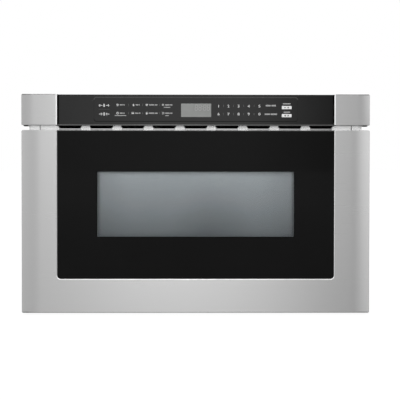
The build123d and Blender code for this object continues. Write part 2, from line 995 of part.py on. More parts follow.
with BuildPart() as drive_motor:
    with BuildSketch(crosswise(bracket_back - gearbox_thickness)) as gearbox:
        with Locations((pinion_y, pinion_z)):
            Circle(gearbox_radius)
        with Locations((motor_y, pinion_z)):
            Circle(motor_radius)
        make_hull()
    extrude(gearbox.sketch, amount=gearbox_thickness)
    chamfer(drive_motor.edges().group_by(Axis.X)[0], gearbox_edge)
    disc(
        crosswise(bracket_back - gearbox_thickness - motor_length),
        (motor_y, pinion_z),
        motor_radius - gearbox_edge,
        motor_length,
    )
    round_holes(
        crosswise(bracket_back - gearbox_bore),
        [(pinion_y, pinion_z)],
        shaft_radius + shaft_fit,
        gearbox_bore,
    )
write(drive_motor.part, "drive_motor")


def involute(base_radius, radius):
    """How far round, in radians, the involute has turned when it reaches a radius."""
    roll = sqrt(max((radius / base_radius) ** 2 - 1, 0))
    return roll - acos(base_radius / max(radius, base_radius))


base_radius = pitch_radius * cos(radians(pressure_angle))
tip_radius = pitch_radius + addendum
root_radius = pitch_radius - dedendum
tooth_half_angle = (pi * gear_module / 2 - gear_backlash) / (2 * pitch_radius)
flank_start = max(base_radius, root_radius + gear_root_fillet)
flank_radii = [flank_start + share * (tip_radius - flank_start) for share in (0, 0.5, 1)]


def flank_point(radius, middle, side):
    """A point on one flank of the pinion tooth whose middle is at an angle."""
    half = tooth_half_angle + involute(base_radius, pitch_radius) - involute(base_radius, radius)
    angle = middle + side * half
    return (pinion_y + radius * cos(angle), pinion_z + radius * sin(angle))


def pinion_tooth(middle):
    """The corners of one tooth, up its first flank, down the other and back inside the root circle."""
    foot_angles = (middle + tooth_half_angle, middle - tooth_half_angle)
    foot_radius = root_radius - gear_root_fillet
    corners = [flank_point(radius, middle, -1) for radius in flank_radii]
    corners += [flank_point(radius, middle, 1) for radius in reversed(flank_radii)]
    corners += [
        (pinion_y + foot_radius * cos(angle), pinion_z + foot_radius * sin(angle)) for angle in foot_angles
    ]
    return corners


# A rack tooth stands at the pinion's lowest point, so a gap of the pinion points straight down.
pinion_x = (rack_inner_x + rack_outer_x) / 2 - gear_width / 2
shaft_x = bracket_back - gearbox_bore + shaft_end_gap
with BuildPart() as drive_pinion:
    with BuildSketch(crosswise(pinion_x)) as gear:
        with Locations((pinion_y, pinion_z)):
            Circle(root_radius)
        for tooth in range(pinion_teeth):
            Polygon(*pinion_tooth(-pi / 2 + (tooth + 0.5) * 2 * pi / pinion_teeth), align=None)
    extrude(gear.sketch, amount=gear_width)
    disc(crosswise(shaft_x), (pinion_y, pinion_z), shaft_radius, pinion_x + shaft_end_gap - shaft_x)
write(drive_pinion.part, "drive_pinion")

rack_pitch = pi * gear_module
tooth_slope = tan(radians(pressure_angle))
tooth_root = rack_pitch / 2 + 2 * dedendum * tooth_slope - gear_backlash
tooth_tip = rack_pitch / 2 - 2 * addendum * tooth_slope - gear_backlash
teeth_before = int((pinion_y - rack_front_y) / rack_pitch)
teeth_after = int((rack_back_y - pinion_y) / rack_pitch)
with BuildPart() as rack:
    with BuildSketch(crosswise(rack_inner_x)) as rack_side:
        with BuildLine():
            outline = [(rack_back_y, pitch_z - dedendum), (rack_back_y, rack_low)]
            outline += [(rack_front_y, rack_low), (rack_front_y, pitch_z - dedendum)]
            for tooth in range(-teeth_before, teeth_after):
                middle = pinion_y + tooth * rack_pitch
                outline += [
                    (middle - tooth_root / 2, pitch_z - dedendum),
                    (middle - tooth_tip / 2, pitch_z + addendum),
                    (middle + tooth_tip / 2, pitch_z + addendum),
                    (middle + tooth_root / 2, pitch_z - dedendum),
                ]
            Polyline(*outline, close=True)
        make_face()
    extrude(rack_side.sketch, amount=rack_width)
write(rack.part, "rack")

# ---- Slides: the right one is drawn and the left one mirrored
half_slide = slide_height / 2
middle_half = half_slide - slide_sheet - ball_space
inner_half = middle_half - slide_sheet - ball_space
outer_row = middle_half + ball_space / 2
inner_row = inner_half + ball_space / 2
ball_radius = ball_space / 2 - ball_clearance


def slide_section(corners):
    """Points of a slide's section: how far in from its outer face, and how high above its middle."""
    return [(slide_outer_x - inward, slide_middle_z + height) for inward, height in corners]


def channel(depth_from, depth_to, half_height, lip):
    """The corners of a channel, from one lip round its web to the other."""
    ends = [(depth_to, half_height - lip)] if lip else []
    corners = ends + [(depth_to, half_height), (depth_from, half_height)]
    mirrored = [(inward, -height) for inward, height in reversed(corners)]
    return slide_section(corners + mirrored)


with BuildPart() as slide_bracket:
    folded_sheet(
        facing_front(slide_back_y),
        [
            (slide_inner_x, pan_sheet + bracket_sheet),
            (slide_outer_x, pan_sheet + bracket_sheet),
            (slide_outer_x, slide_middle_z + half_slide + slide_bracket_rise),
        ],
        bracket_sheet,
        tight_bend,
        slide_length,
        side=Side.RIGHT,
    )
write_pair(slide_bracket.part, "slide_bracket")

with BuildPart() as slide_outer:
    folded_sheet(
        facing_front(slide_back_y),
        channel(0, slide_width - slide_sheet, half_slide, outer_lip),
        slide_sheet,
        slide_bend,
        slide_length,
        side=Side.RIGHT,
    )
write_pair(slide_outer.part, "slide_outer")

with BuildPart() as slide_middle:
    folded_sheet(
        facing_front(slide_back_y),
        channel(member_setback, member_setback + member_depth, middle_half, outer_lip),
        slide_sheet,
        slide_bend,
        slide_length,
        side=Side.RIGHT,
    )
write_pair(slide_middle.part, "slide_middle")

with BuildPart() as slide_inner:
    folded_sheet(
        facing_front(slide_back_y),
        channel(slide_width, slide_width - inner_member_depth, inner_half, 0),
        slide_sheet,
        slide_bend,
        slide_length,
    )
write_pair(slide_inner.part, "slide_inner")

# A ball is faceted: two poles and two rings of eight corners.
ring_height = 0.57 * ball_radius
ring_radius = sqrt(ball_radius**2 - ring_height**2)
ball_corners = [(0, 0, ball_radius), (0, 0, -ball_radius)]
ball_corners += [
    (ring_radius * cos(corner * pi / 4), ring_radius * sin(corner * pi / 4), height)
    for corner in range(8)
    for height in (-ring_height, ring_height)
]


def ball_cage(web_depth, row_depth, strip_end, row_height):
    """One cage: a folded strip with a row of balls along its top and its bottom edge."""
    half_cage = row_height + cage_sheet / 2
    folded_sheet(
        facing_front(slide_middle_y + cage_length / 2),
        channel(web_depth, strip_end, half_cage, 0),
        cage_sheet,
        tight_bend,
        cage_length,
        side=Side.RIGHT,
    )
    ball_pitch = cage_length / balls_per_row
    for height in (-row_height, row_height):
        centre = slide_section([(row_depth, height)])[0]
        with Locations((centre[0], slide_middle_y, centre[1])):
            with GridLocations(0, ball_pitch, 1, balls_per_row):
                ConvexPolyhedron(ball_corners)


outer_cage_web = slide_sheet + cage_gap
with BuildPart() as outer_cage:
    ball_cage(outer_cage_web, outer_row_depth, outer_cage_edge, outer_row)
with BuildPart() as ball_cages_outer:
    add(outer_cage.part)
    mirror(outer_cage.part, about=Plane.YZ)
write(ball_cages_outer.part, "ball_cages_outer")

inner_cage_web = member_setback + slide_sheet + ball_clearance
with BuildPart() as inner_cage:
    ball_cage(inner_cage_web, inner_row_depth, inner_cage_edge, inner_row)
with BuildPart() as ball_cages_inner:
    add(inner_cage.part)
    mirror(inner_cage.part, about=Plane.YZ)
write(ball_cages_inner.part, "ball_cages_inner")

rail_top = slide_middle_z + half_slide - rail_drop
rail_back_y = rack_back_y + rail_beyond_rack
rail_foot_x = rack_inner_x - tight_bend
tab_sheet = bracket_sheet - cage_sheet / 8
with BuildPart() as carriage_rail:
    folded_sheet(
        facing_front(rail_back_y),
        [(rail_foot_x, rail_low), (slide_inner_x, rail_low), (slide_inner_x, rail_top)],
        bracket_sheet,
        rail_bend,
        rail_back_y - drawer_back_y,
    )
    # the front tab, folded outwards against the back of the drawer front
    panel(
        facing_front(drawer_back_y + tab_sheet),
        (slide_inner_x - bracket_sheet, slide_outer_x),
        (rail_low + rail_tab_rise, rail_top),
        tab_sheet,
    )
write_pair(carriage_rail.part, "carriage_rail")

# ---- Drawer front
drawer_edges = (-half_front + door_sheet, half_front - door_sheet)
drawer_heights = (drawer_low + door_sheet, drawer_top - door_sheet)
with BuildPart() as drawer_front_shell:
    panel(
        facing_front(drawer_back_y), (-half_front, half_front), (drawer_low, drawer_top), drawer_thickness
    )
    fillet(drawer_front_shell.edges().filter_by(Axis.Y), front_corner_radius)
    fillet(drawer_front_shell.faces().sort_by(Axis.Y)[0].edges(), front_edge_radius)
    panel(
        facing_front(drawer_back_y),
        drawer_edges,
        drawer_heights,
        drawer_thickness - door_sheet,
        mode=Mode.SUBTRACT,
    )
    # the sheet turns back round the glass's opening, which runs out through the top edge
    turned_edge = glass_outline(
        facing_front(glass_back_y),
        glass_half + door_sheet,
        glass_low - door_sheet,
        drawer_top,
        glass_corner + door_sheet,
    )
    extrude(turned_edge, amount=glass_back_y - front_y - door_sheet / 2)
    opening = glass_outline(
        facing_front(drawer_back_y), glass_half, glass_low, drawer_top + glass_corner, glass_corner
    )
    extrude(opening, amount=drawer_thickness, mode=Mode.SUBTRACT)
write(drawer_front_shell.part, "drawer_front_shell")

with BuildPart() as door_glass:
    extrude(
        glass_outline(facing_front(glass_back_y), glass_half, glass_low, glass_top, glass_corner),
        amount=glass_thickness,
    )
    chamfer(door_glass.edges().group_by(Axis.Y)[0], glass_edge)
write(door_glass.part, "door_glass")

with BuildPart() as glass_top_trim:
    folded_sheet(
        crosswise(-glass_half),
        [(front_y, glass_top), (front_y, drawer_top), (drawer_back_y, drawer_top)],
        door_sheet,
        door_sheet / 2,
        2 * glass_half,
        side=Side.RIGHT,
    )
write(glass_top_trim.part, "glass_top_trim")

# The carrier holds the glass from behind and leaves the window open. Its back is cored out.
window_middle = (window_low + window_top) / 2
carrier_depth = choke_y - glass_back_y
core_depth_behind = carrier_depth - carrier_front
with BuildPart() as glass_carrier:
    extrude(
        glass_outline(facing_front(choke_y), glass_half, glass_low, glass_top, glass_corner),
        amount=carrier_depth,
    )
    panel(
        facing_front(choke_y),
        around(0, window_width),
        around(window_middle, window_height),
        carrier_depth,
        mode=Mode.SUBTRACT,
    )
    panel(
        facing_front(choke_y),
        around(0, window_width + 2 * carrier_rib_inner),
        around(window_middle, window_height + 2 * carrier_rib_inner),
        core_depth_behind,
        mode=Mode.SUBTRACT,
    )
    for side in (-1, 1):
        panel(
            facing_front(choke_y),
            sorted(
                (side * (window_width / 2 + carrier_rib_outer), side * (glass_half - carrier_side_wall))
            ),
            (glass_low + carrier_end_wall, glass_top - carrier_end_wall),
            core_depth_behind,
            mode=Mode.SUBTRACT,
        )
write(glass_carrier.part, "glass_carrier")

with BuildPart() as window_screen:
    panel(
        facing_front(glass_back_y + carrier_front + cavity_sheet),
        around(0, window_width + 2 * screen_lap),
        around(window_middle, window_height + 2 * screen_lap),
        cavity_sheet,
    )
write(window_screen.part, "window_screen")

choke_half = seal_outer + choke_sheet
choke_heights = (seal_low - choke_sheet, seal_top + choke_sheet)
dish_half = cavity_half - 2 * choke_sheet
dish_heights = (cavity_floor_z + 2 * choke_sheet, ceiling_z - 2 * choke_sheet)
mouth_half = cavity_half - choke_sheet
mouth_heights = (cavity_floor_z + choke_sheet, ceiling_z - choke_sheet)
with BuildPart() as choke_pan:
    panel(facing_front(drawer_back_y), (-choke_half, choke_half), choke_heights, choke_depth)
    # the channel behind, all round, is cut out, and the middle with the dish in front of it is put back
    panel(
        facing_front(drawer_back_y),
        (-seal_outer, seal_outer),
        (seal_low, seal_top),
        choke_depth - choke_sheet,
        mode=Mode.SUBTRACT,
    )
    panel(facing_front(drawer_back_y), (-mouth_half, mouth_half), mouth_heights, choke_depth)
    panel(
        facing_front(drawer_back_y - choke_sheet),
        (-dish_half, dish_half),
        dish_heights,
        choke_depth,
        mode=Mode.SUBTRACT,
    )
    panel(
        facing_front(drawer_back_y),
        around(0, window_width),
        around(window_middle, window_height),
        choke_sheet,
        corner=window_corner,
        mode=Mode.SUBTRACT,
    )
write(choke_pan.part, "choke_pan")

with BuildPart() as choke_cover:
    panel(
        facing_front(drawer_back_y),
        (-seal_outer, seal_outer),
        (seal_low, seal_top),
        moulded_wall,
        corner=choke_cover_corner,
    )
    panel(
        facing_front(drawer_back_y),
        (-mouth_half, mouth_half),
        mouth_heights,
        moulded_wall,
        mode=Mode.SUBTRACT,
    )
write(choke_cover.part, "choke_cover")

with BuildPart() as inner_window:
    panel(
        facing_front(drawer_back_y - choke_sheet),
        around(0, window_width + 2 * inner_window_lap),
        (window_low - inner_window_lap, dish_heights[1] - ball_clearance),
        inner_window_thickness,
    )
write(inner_window.part, "inner_window")

with BuildPart() as door_inner_panel:
    panel(facing_front(drawer_back_y), drawer_edges, drawer_heights, choke_sheet)
    panel(
        facing_front(drawer_back_y),
        (-choke_half, choke_half),
        choke_heights,
        choke_sheet,
        mode=Mode.SUBTRACT,
    )
write(door_inner_panel.part, "door_inner_panel")

hook_low = hook_z - hook_height / 2
hook_top = hook_z + hook_height / 2
hook_end_y = drawer_back_y + hook_length
hook_head_y = hook_end_y - hook_head
hook_outline = [
    (drawer_back_y, hook_low),
    (hook_end_y - hook_slope, hook_low),
    (hook_end_y, hook_low + hook_thickness),
    (hook_end_y - hook_neck, hook_top),
    (hook_head_y, hook_top),
    (hook_head_y, hook_z),
    (drawer_back_y + hook_neck, hook_z),
    (drawer_back_y, hook_top),
]
with BuildPart() as latch_hooks:
    for side in (-1, 1):
        with BuildSketch(crosswise(side * hook_x - hook_thickness / 2)) as hook:
            Polygon(*hook_outline, align=None)
        extrude(hook.sketch, amount=hook_thickness)
write(latch_hooks.part, "latch_hooks")

bumper_depth = seal_gap - ball_clearance
with BuildPart() as bumpers:
    for x in (bumper_inset - flange_half, flange_half - bumper_inset):
        for z in (bumper_low, drawer_top - bumper_drop):
            disc(facing_front(drawer_back_y + bumper_depth), (x, z), bumper_radius, bumper_depth)
write(bumpers.part, "bumpers")

# ---- Drawer tub: three walls and a floor. The back of the drawer front is its fourth wall.
tub_end_y = tub_back_y + tub_sheet
with BuildPart() as drawer_tub:
    panel(level(tub_low), (-tub_outer, tub_outer), (drawer_back_y, tub_end_y), tub_top - tub_low)
    fillet(drawer_tub.edges().filter_by(Axis.Z).group_by(Axis.Y)[-1], tub_corner)
    fillet(drawer_tub.edges().group_by(Axis.Z)[0].sort_by(Axis.Y)[1:], tub_floor_bend)
    offset(
        amount=-tub_sheet,
        openings=[drawer_tub.faces().sort_by(Axis.Z)[-1], drawer_tub.faces().sort_by(Axis.Y)[0]],
        kind=Kind.INTERSECTION,
    )
    # the rim is rolled outwards along the top of the walls
    with BuildSketch(level(tub_top - tub_rim)) as rim:
        for grown, mode in ((tub_rim, Mode.ADD), (0, Mode.SUBTRACT)):
            with Locations((0, (drawer_back_y + tub_end_y) / 2)):
                RectangleRounded(
                    2 * (tub_outer + grown),
                    tub_end_y - drawer_back_y + 2 * grown,
                    tub_corner + grown,
                    mode=mode,
                )
        with Locations((0, drawer_back_y)):
            Rectangle(4 * tub_outer, 2 * tub_corner, mode=Mode.SUBTRACT)
    extrude(rim.sketch, amount=tub_rim)
write(drawer_tub.part, "drawer_tub")

with BuildPart() as ceramic_tray:
    panel(
        level(tub_floor_z),
        around(0, tub_width - 2 * tray_margin),
        around(drawer_back_y + tub_depth / 2, tub_depth - 2 * tray_margin),
        tray_thickness,
        corner=tub_corner,
    )
    chamfer(ceramic_tray.edges().group_by(Axis.Z)[-1], tray_edge)
write(ceramic_tray.part, "ceramic_tray")

# ---- Interlock: a holder with three switches each side, which the hook enters
with BuildPart() as interlock_switches:
    for side in (-1, 1):
        panel(
            facing_front(flange_back_y + switch_depth),
            around(side * hook_x, switch_width),
            around(hook_z - switch_drop, switch_height),
            switch_depth,
        )
        panel(
            facing_front(flange_back_y + switch_slot),
            around(side * hook_x, hook_thickness + hook_passage),
            around(hook_z, hook_height + hook_passage),
            switch_slot,
            mode=Mode.SUBTRACT,
        )
write(interlock_switches.part, "interlock_switches")

# ---- Control panel
panel_depth = flange_y - front_y
with BuildPart() as end_cap:
    panel(
        facing_front(flange_y), (half_front - cap_width, half_front), (panel_low, panel_top), panel_depth
    )
    fillet(end_cap.edges().filter_by(Axis.Y).group_by(Axis.X)[-1], front_corner_radius)
    fillet(end_cap.faces().sort_by(Axis.Y)[0].edges(), front_edge_radius)
    offset(amount=-door_sheet, openings=end_cap.faces().sort_by(Axis.Y)[-1], kind=Kind.INTERSECTION)
write_pair(end_cap.part, "end_cap")

fascia_half = half_front - cap_width
fascia_edges = (-fascia_half, fascia_half)
fascia_top = panel_top - fascia_drop
fascia_low = panel_low + fascia_lip
fascia_heights = (fascia_low, fascia_top)
fascia_middle = (fascia_low + fascia_top) / 2
fascia_y = front_y + fascia_recess
fascia_back_y = fascia_y + fascia_thickness
housing_back_y = flange_y - moulded_wall
display_low = panel_low + display_above_panel
display_edges = around(display_centre, display_width)
display_heights = (display_low, display_low + display_height)
module_edges = around(display_centre, display_width + 2 * display_frame)
module_heights = (display_low - display_frame, display_heights[1] + display_frame)
board_heights = (fascia_low + board_margin, fascia_top - board_margin)
with BuildPart() as control_housing:
    panel(facing_front(flange_y), fascia_edges, (panel_low, fascia_top), flange_y - fascia_y)
    panel(
        facing_front(fascia_back_y), fascia_edges, fascia_heights, fascia_thickness, mode=Mode.SUBTRACT
    )
    panel(
        facing_front(housing_back_y),
        (-fascia_half + moulded_wall, fascia_half - moulded_wall),
        (fascia_low + moulded_wall, fascia_top - moulded_wall),
        housing_back_y - fascia_back_y,
        mode=Mode.SUBTRACT,
    )
    panel(facing_front(flange_y), wiring_edges, wiring_heights, moulded_wall, mode=Mode.SUBTRACT)
    for x in around(0, standoff_spacing):
        for z in around(fascia_middle, standoff_rise):
            panel(
                facing_front(housing_back_y),
                around(x, standoff_size),
                around(z, standoff_size),
                standoff_height,
            )
write(control_housing.part, "control_housing")

with BuildPart() as control_glass:
    panel(facing_front(fascia_back_y), fascia_edges, fascia_heights, fascia_thickness)
    panel(
        facing_front(fascia_back_y), display_edges, display_heights, fascia_thickness, mode=Mode.SUBTRACT
    )
write(control_glass.part, "control_glass")

with BuildPart() as display_window:
    panel(facing_front(fascia_back_y), display_edges, display_heights, fascia_thickness)
write(display_window.part, "display_window")

with BuildPart() as display_module:
    panel(facing_front(fascia_back_y + display_depth), module_edges, module_heights, display_depth)
write(display_module.part, "display_module")

with BuildPart() as touch_board:
    panel(
        facing_front(fascia_back_y + board_thickness),
        (-fascia_half + touch_board_margin, fascia_half - touch_board_margin),
        board_heights,
        board_thickness,
    )
    panel(
        facing_front(fascia_back_y + board_thickness),
        module_edges,
        module_heights,
        board_thickness,
        mode=Mode.SUBTRACT,
    )
write(touch_board.part, "touch_board")

board_y = housing_back_y - standoff_height
with BuildPart() as control_board:
    panel(facing_front(board_y), around(0, control_board_width), board_heights, board_thickness)
    # two relays, a small transformer and a connector
    for centre, across, up in board_components:
        panel(
            facing_front(board_y - board_thickness),
            around(centre, across),
            around(fascia_middle, up),
            component_height,
        )
write(control_board.part, "control_board")

# ---- Case screws
with BuildPart() as screw:
    disc(level(0), (0, 0), screw_washer, screw_washer_height)
    with BuildSketch(level(screw_washer_height)) as hexagon:
        RegularPolygon(screw_head, 6)
    extrude(hexagon.sketch, amount=screw_head_height)
    disc(level(-cover_sheet), (0, 0), screw_radius, cover_sheet)
screw_seats = [Plane(origin=(x, rear_y, screw_z), z_dir=(0, 1, 0)) for x in rear_screw_x]
screw_seats += [
    Plane(origin=(side * body_half, y, screw_z), z_dir=(side, 0, 0))
    for side in (-1, 1)
    for y in side_screw_y
]
with BuildPart() as case_screws:
    for seat in screw_seats:
        add(seat * screw.part)
write(case_screws.part, "case_screws")
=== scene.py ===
"""Looks of a 24-inch built-in microwave drawer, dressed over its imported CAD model.

Sizes in the calls are millimetres, and meshes are made in metres in the model's own frame: the front faces
-Y, X runs to the right and Z is up. A piece that stands for a CAD node takes its place from that node's box.
"""

import json
from math import cos, pi, radians, sin

import bmesh
import bpy
from mathutils import Matrix, Vector


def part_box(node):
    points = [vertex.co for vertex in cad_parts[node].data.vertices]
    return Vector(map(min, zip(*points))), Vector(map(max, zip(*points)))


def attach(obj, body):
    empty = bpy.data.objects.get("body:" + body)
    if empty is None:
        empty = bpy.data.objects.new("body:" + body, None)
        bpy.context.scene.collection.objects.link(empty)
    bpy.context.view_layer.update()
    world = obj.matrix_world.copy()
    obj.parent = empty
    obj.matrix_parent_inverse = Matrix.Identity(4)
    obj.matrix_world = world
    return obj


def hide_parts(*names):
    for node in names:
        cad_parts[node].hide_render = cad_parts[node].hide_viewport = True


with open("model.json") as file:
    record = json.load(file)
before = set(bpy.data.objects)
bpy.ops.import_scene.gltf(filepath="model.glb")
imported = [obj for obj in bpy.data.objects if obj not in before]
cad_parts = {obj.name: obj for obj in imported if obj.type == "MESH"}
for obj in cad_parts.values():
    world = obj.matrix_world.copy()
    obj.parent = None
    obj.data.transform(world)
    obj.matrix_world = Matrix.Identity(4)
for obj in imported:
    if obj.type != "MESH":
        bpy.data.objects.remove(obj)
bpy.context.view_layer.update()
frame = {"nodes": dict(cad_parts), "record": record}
NODES = frame["nodes"]
MM = 0.001
SCENE = bpy.context.scene


# ---- Shader helpers
def colour(code):
    """An sRGB hex colour as linear red, green and blue with full alpha."""
    channels = [int(code[start : start + 2], 16) / 255 for start in (0, 2, 4)]
    return tuple(c / 12.92 if c <= 0.04045 else ((c + 0.055) / 1.055) ** 2.4 for c in channels) + (1.0,)


def feed(tree, node, inputs):
    """Fill a node's inputs. Each is linked from a socket, or given a value or a hex colour."""
    for name, value in inputs.items():
        if isinstance(value, bpy.types.NodeSocket):
            tree.links.new(value, node.inputs[name])
        else:
            node.inputs[name].default_value = colour(value) if isinstance(value, str) else value


def add(tree, kind, inputs=(), **settings):
    """Add a node of a kind, such as Mix, with its settings, and fill its inputs."""
    node = tree.nodes.new("ShaderNode" + kind)
    for name, value in settings.items():
        setattr(node, name, value)
    feed(tree, node, dict(inputs))
    return node


def begin(name, **values):
    """A new material with one surface shader, given the values that are the same all over."""
    material = bpy.data.materials.new(name)
    material.use_nodes = True
    tree = material.node_tree
    tree.nodes.clear()
    even = {key.replace("_", " "): value for key, value in values.items()}
    surface = add(tree, "BsdfPrincipled", even)
    add(tree, "OutputMaterial", {"Surface": surface.outputs["BSDF"]})
    place = add(tree, "TexCoord").outputs["Object"]
    return material, tree, surface, place


def spacing(x, y, z):
    """The mapping scale that gives a pattern these sizes in millimetres along x, y and z."""
    return (1 / (x * MM), 1 / (y * MM), 1 / (z * MM))


# ---- Materials: each starts from what the real one is
def brushed_stainless(name, dark, light):
    """Stainless sheet, belt-brushed along X: a grey sheen drawn out up and down, with fine level lines."""
    material, tree, steel, place = begin(name, Metallic=1.0, Anisotropic=0.8)
    # the belt leaves lines about 0.1 mm apart, drawn here 0.8 mm apart so that they show
    fine = add(tree, "Mapping", {"Vector": place, "Scale": spacing(160, 160, 0.8)}).outputs[0]
    lines = add(tree, "TexNoise", {"Vector": fine, "Scale": 1.0, "Detail": 3.0}).outputs["Fac"]
    wide = add(tree, "Mapping", {"Vector": place, "Scale": spacing(420, 420, 11)}).outputs[0]
    bands = add(tree, "TexNoise", {"Vector": wide, "Scale": 1.0, "Detail": 2.0}).outputs["Fac"]
    mixed = add(tree, "Mix", {0: 0.4, 2: lines, 3: bands}, data_type="FLOAT").outputs[0]
    tone = add(tree, "Mix", {0: mixed, 6: dark, 7: light}, data_type="RGBA").outputs[2]
    # the raised lines are a trace smoother than the deep ones
    dulling = {"Value": mixed, "From Min": 0.3, "From Max": 0.7, "To Min": 0.2765, "To Max": 0.2735}
    dull = add(tree, "MapRange", dulling).outputs[0]
    bump = add(tree, "Bump", {"Height": lines, "Strength": 0.01, "Distance": 0.02 * MM}).outputs[0]
    # the sheen runs across the lines: upright on the front and the sides, front to back on top
    across = add(tree, "CombineXYZ", {"X": 0.0, "Y": 0.01, "Z": 1.0}).outputs[0]
    feed(tree, steel, {"Base Color": tone, "Roughness": dull, "Normal": bump, "Tangent": across})
    return material


def clouded(name, dark, light, cloud_size, detail, dull=(), dull_from=(0.0, 1.0), **values):
    """A finish whose tone drifts between two colours in soft clouds of one size, as its roughness may."""
    material, tree, surface, place = begin(name, **values)
    cloud = add(tree, "TexNoise", {"Vector": place, "Scale": 1 / (cloud_size * MM), "Detail": detail})
    drift = cloud.outputs["Fac"]
    tone = add(tree, "Mix", {0: drift, 6: dark, 7: light}, data_type="RGBA").outputs[2]
    feed(tree, surface, {"Base Color": tone})
    if dull:
        ends = dict(zip(("From Min", "From Max", "To Min", "To Max"), dull_from + dull))
        feed(tree, surface, {"Roughness": add(tree, "MapRange", {"Value": drift} | ends).outputs[0]})
    return material


def smooth_metal(name, dark, light, roughness):
    """Cold-rolled steel left bright, or anodised trim: unbrushed, so that it mirrors the room softly."""
    return clouded(name, dark, light, 25, 3.0, (roughness, roughness + 0.06), Metallic=1.0)


def pressed_aluminium():
    """Mill-finish aluminium pressings: bright, soft and slightly cloudy."""
    return clouded("pressed_aluminium", "BDBFC1", "D2D4D5", 15, 3.0, (0.28, 0.45), Metallic=1.0)


def moulded_rubber():
    """Moulded rubber: near black, matt, with a powdery bloom."""
    return clouded("moulded_rubber", "161616", "2C2C2B", 3, 4.0, (0.6, 0.85), IOR=1.5)


def printed_glass(name, ink, haze, gloss_index):
    """Float glass with black ink fired on its back: deep black, mirror-smooth, with a faint film of haze."""
    return clouded(name, ink, haze, 55, 4.0, (0.02, 0.06), (0.35, 0.75), IOR=gloss_index)


def clear_glass():
    """Float glass without ink: clear, with the faint green that its thickness gives."""
    clear = {"IOR": 1.2, "Transmission_Weight": 1.0, "Roughness": 0.0}
    return clouded("clear_glass", "F1F4F4", "FBFDFD", 80, 3.0, **clear)


def smoked_lens():
    """Polycarbonate lens with a grey film behind it: an even mid grey under a glossy face."""
    gloss = {"Roughness": 0.12, "IOR": 1.49, "Coat_Weight": 0.5, "Coat_Roughness": 0.04}
    return clouded("smoked_lens", "828482", "8F918F", 18, 2.0, **gloss)


def printed_ink(name, dark, light, roughness=0.55):
    """Screen-printed ink on glass: flat and matt, a little uneven where the mesh left it thin."""
    return clouded(name, dark, light, 1.5, 2.0, Roughness=roughness, IOR=1.15)


def galvanised_sheet():
    """Hot-dipped galvanised sheet: pale grey zinc that froze into flat crystals, each with its own sheen."""
    material, tree, zinc, place = begin("galvanised_sheet", Metallic=0.85)
    crystals = add(tree, "TexVoronoi", {"Vector": place, "Scale": 1 / (9 * MM), "Randomness": 1.0})
    shade = add(tree, "SeparateColor", {"Color": crystals.outputs["Color"]})
    cloud = add(tree, "TexNoise", {"Vector": place, "Scale": 1 / (70 * MM), "Detail": 3.0}).outputs["Fac"]
    tone = add(tree, "Mix", {0: shade.outputs[0], 6: "A0A4A6", 7: "BBBFBF"}, data_type="RGBA").outputs[2]
    softened = add(tree, "Math", {0: cloud, 1: 0.7}, operation="MULTIPLY").outputs[0]
    tinted = add(tree, "Mix", {0: softened, 6: tone, 7: "A3A7A7"}, data_type="RGBA").outputs[2]
    dull = add(tree, "MapRange", {"Value": shade.outputs[1], "To Min": 0.38, "To Max": 0.55}).outputs[0]
    bump = add(tree, "Bump", {"Height": cloud, "Strength": 0.15, "Distance": 0.1 * MM}).outputs[0]
    feed(tree, zinc, {"Base Color": tinted, "Roughness": dull, "Normal": bump})
    return material


def speckled_enamel():
    """Grey oven enamel, fired on sheet: glossy and slightly wavy, with fine paler specks."""
    gloss = {"Roughness": 0.22, "Coat_Weight": 0.4, "Coat_Roughness": 0.08}
    material, tree, enamel, place = begin("speckled_enamel", **gloss)
    specks = add(tree, "TexNoise", {"Vector": place, "Scale": 1 / (1.3 * MM), "Detail": 1.0}).outputs["Fac"]
    chosen = add(tree, "MapRange", {"Value": specks, "From Min": 0.62, "From Max": 0.68}).outputs[0]
    tone = add(tree, "Mix", {0: chosen, 6: "8F8F8C", 7: "B9B9B4"}, data_type="RGBA").outputs[2]
    waves = add(tree, "TexNoise", {"Vector": place, "Scale": 1 / (6 * MM), "Detail": 2.0}).outputs["Fac"]
    bump = add(tree, "Bump", {"Height": waves, "Strength": 0.12, "Distance": 0.08 * MM}).outputs[0]
    feed(tree, enamel, {"Base Color": tone, "Normal": bump})
    return material


def zinc_plated_steel():
    """Rolled steel with bright zinc plating: cool grey, with draw lines along the slide."""
    material, tree, plating, place = begin("zinc_plated_steel", Metallic=1.0)
    along = add(tree, "Mapping", {"Vector": place, "Scale": spacing(1.2, 90, 1.2)}).outputs[0]
    drawn = add(tree, "TexNoise", {"Vector": along, "Scale": 1.0, "Detail": 2.0}).outputs["Fac"]
    tone = add(tree, "Mix", {0: drawn, 6: "A9AEB4", 7: "C6CACD"}, data_type="RGBA").outputs[2]
    dulling = {"Value": drawn, "From Min": 0.3, "From Max": 0.7, "To Min": 0.22, "To Max": 0.36}
    dull = add(tree, "MapRange", dulling).outputs[0]
    feed(tree, plating, {"Base Color": tone, "Roughness": dull})
    return material


def moulded_plastic(name, dark, light, roughness):
    """Injection-moulded plastic with a spark-eroded texture: soft sheen, broken up by a fine even grain."""
    material, tree, plastic, place = begin(name, IOR=1.5)
    pits = add(tree, "TexNoise", {"Vector": place, "Scale": 1 / (0.7 * MM), "Detail": 2.0}).outputs["Fac"]
    flow = add(tree, "TexNoise", {"Vector": place, "Scale": 1 / (40 * MM), "Detail": 2.0}).outputs["Fac"]
    tone = add(tree, "Mix", {0: flow, 6: dark, 7: light}, data_type="RGBA").outputs[2]
    dulling = {"Value": pits, "From Min": 0.3, "From Max": 0.7}
    dulling |= {"To Min": roughness - 0.07, "To Max": roughness + 0.07}
    dull = add(tree, "MapRange", dulling).outputs[0]
    bump = add(tree, "Bump", {"Height": pits, "Strength": 0.3, "Distance": 0.05 * MM}).outputs[0]
    feed(tree, plastic, {"Base Color": tone, "Roughness": dull, "Normal": bump})
    return material


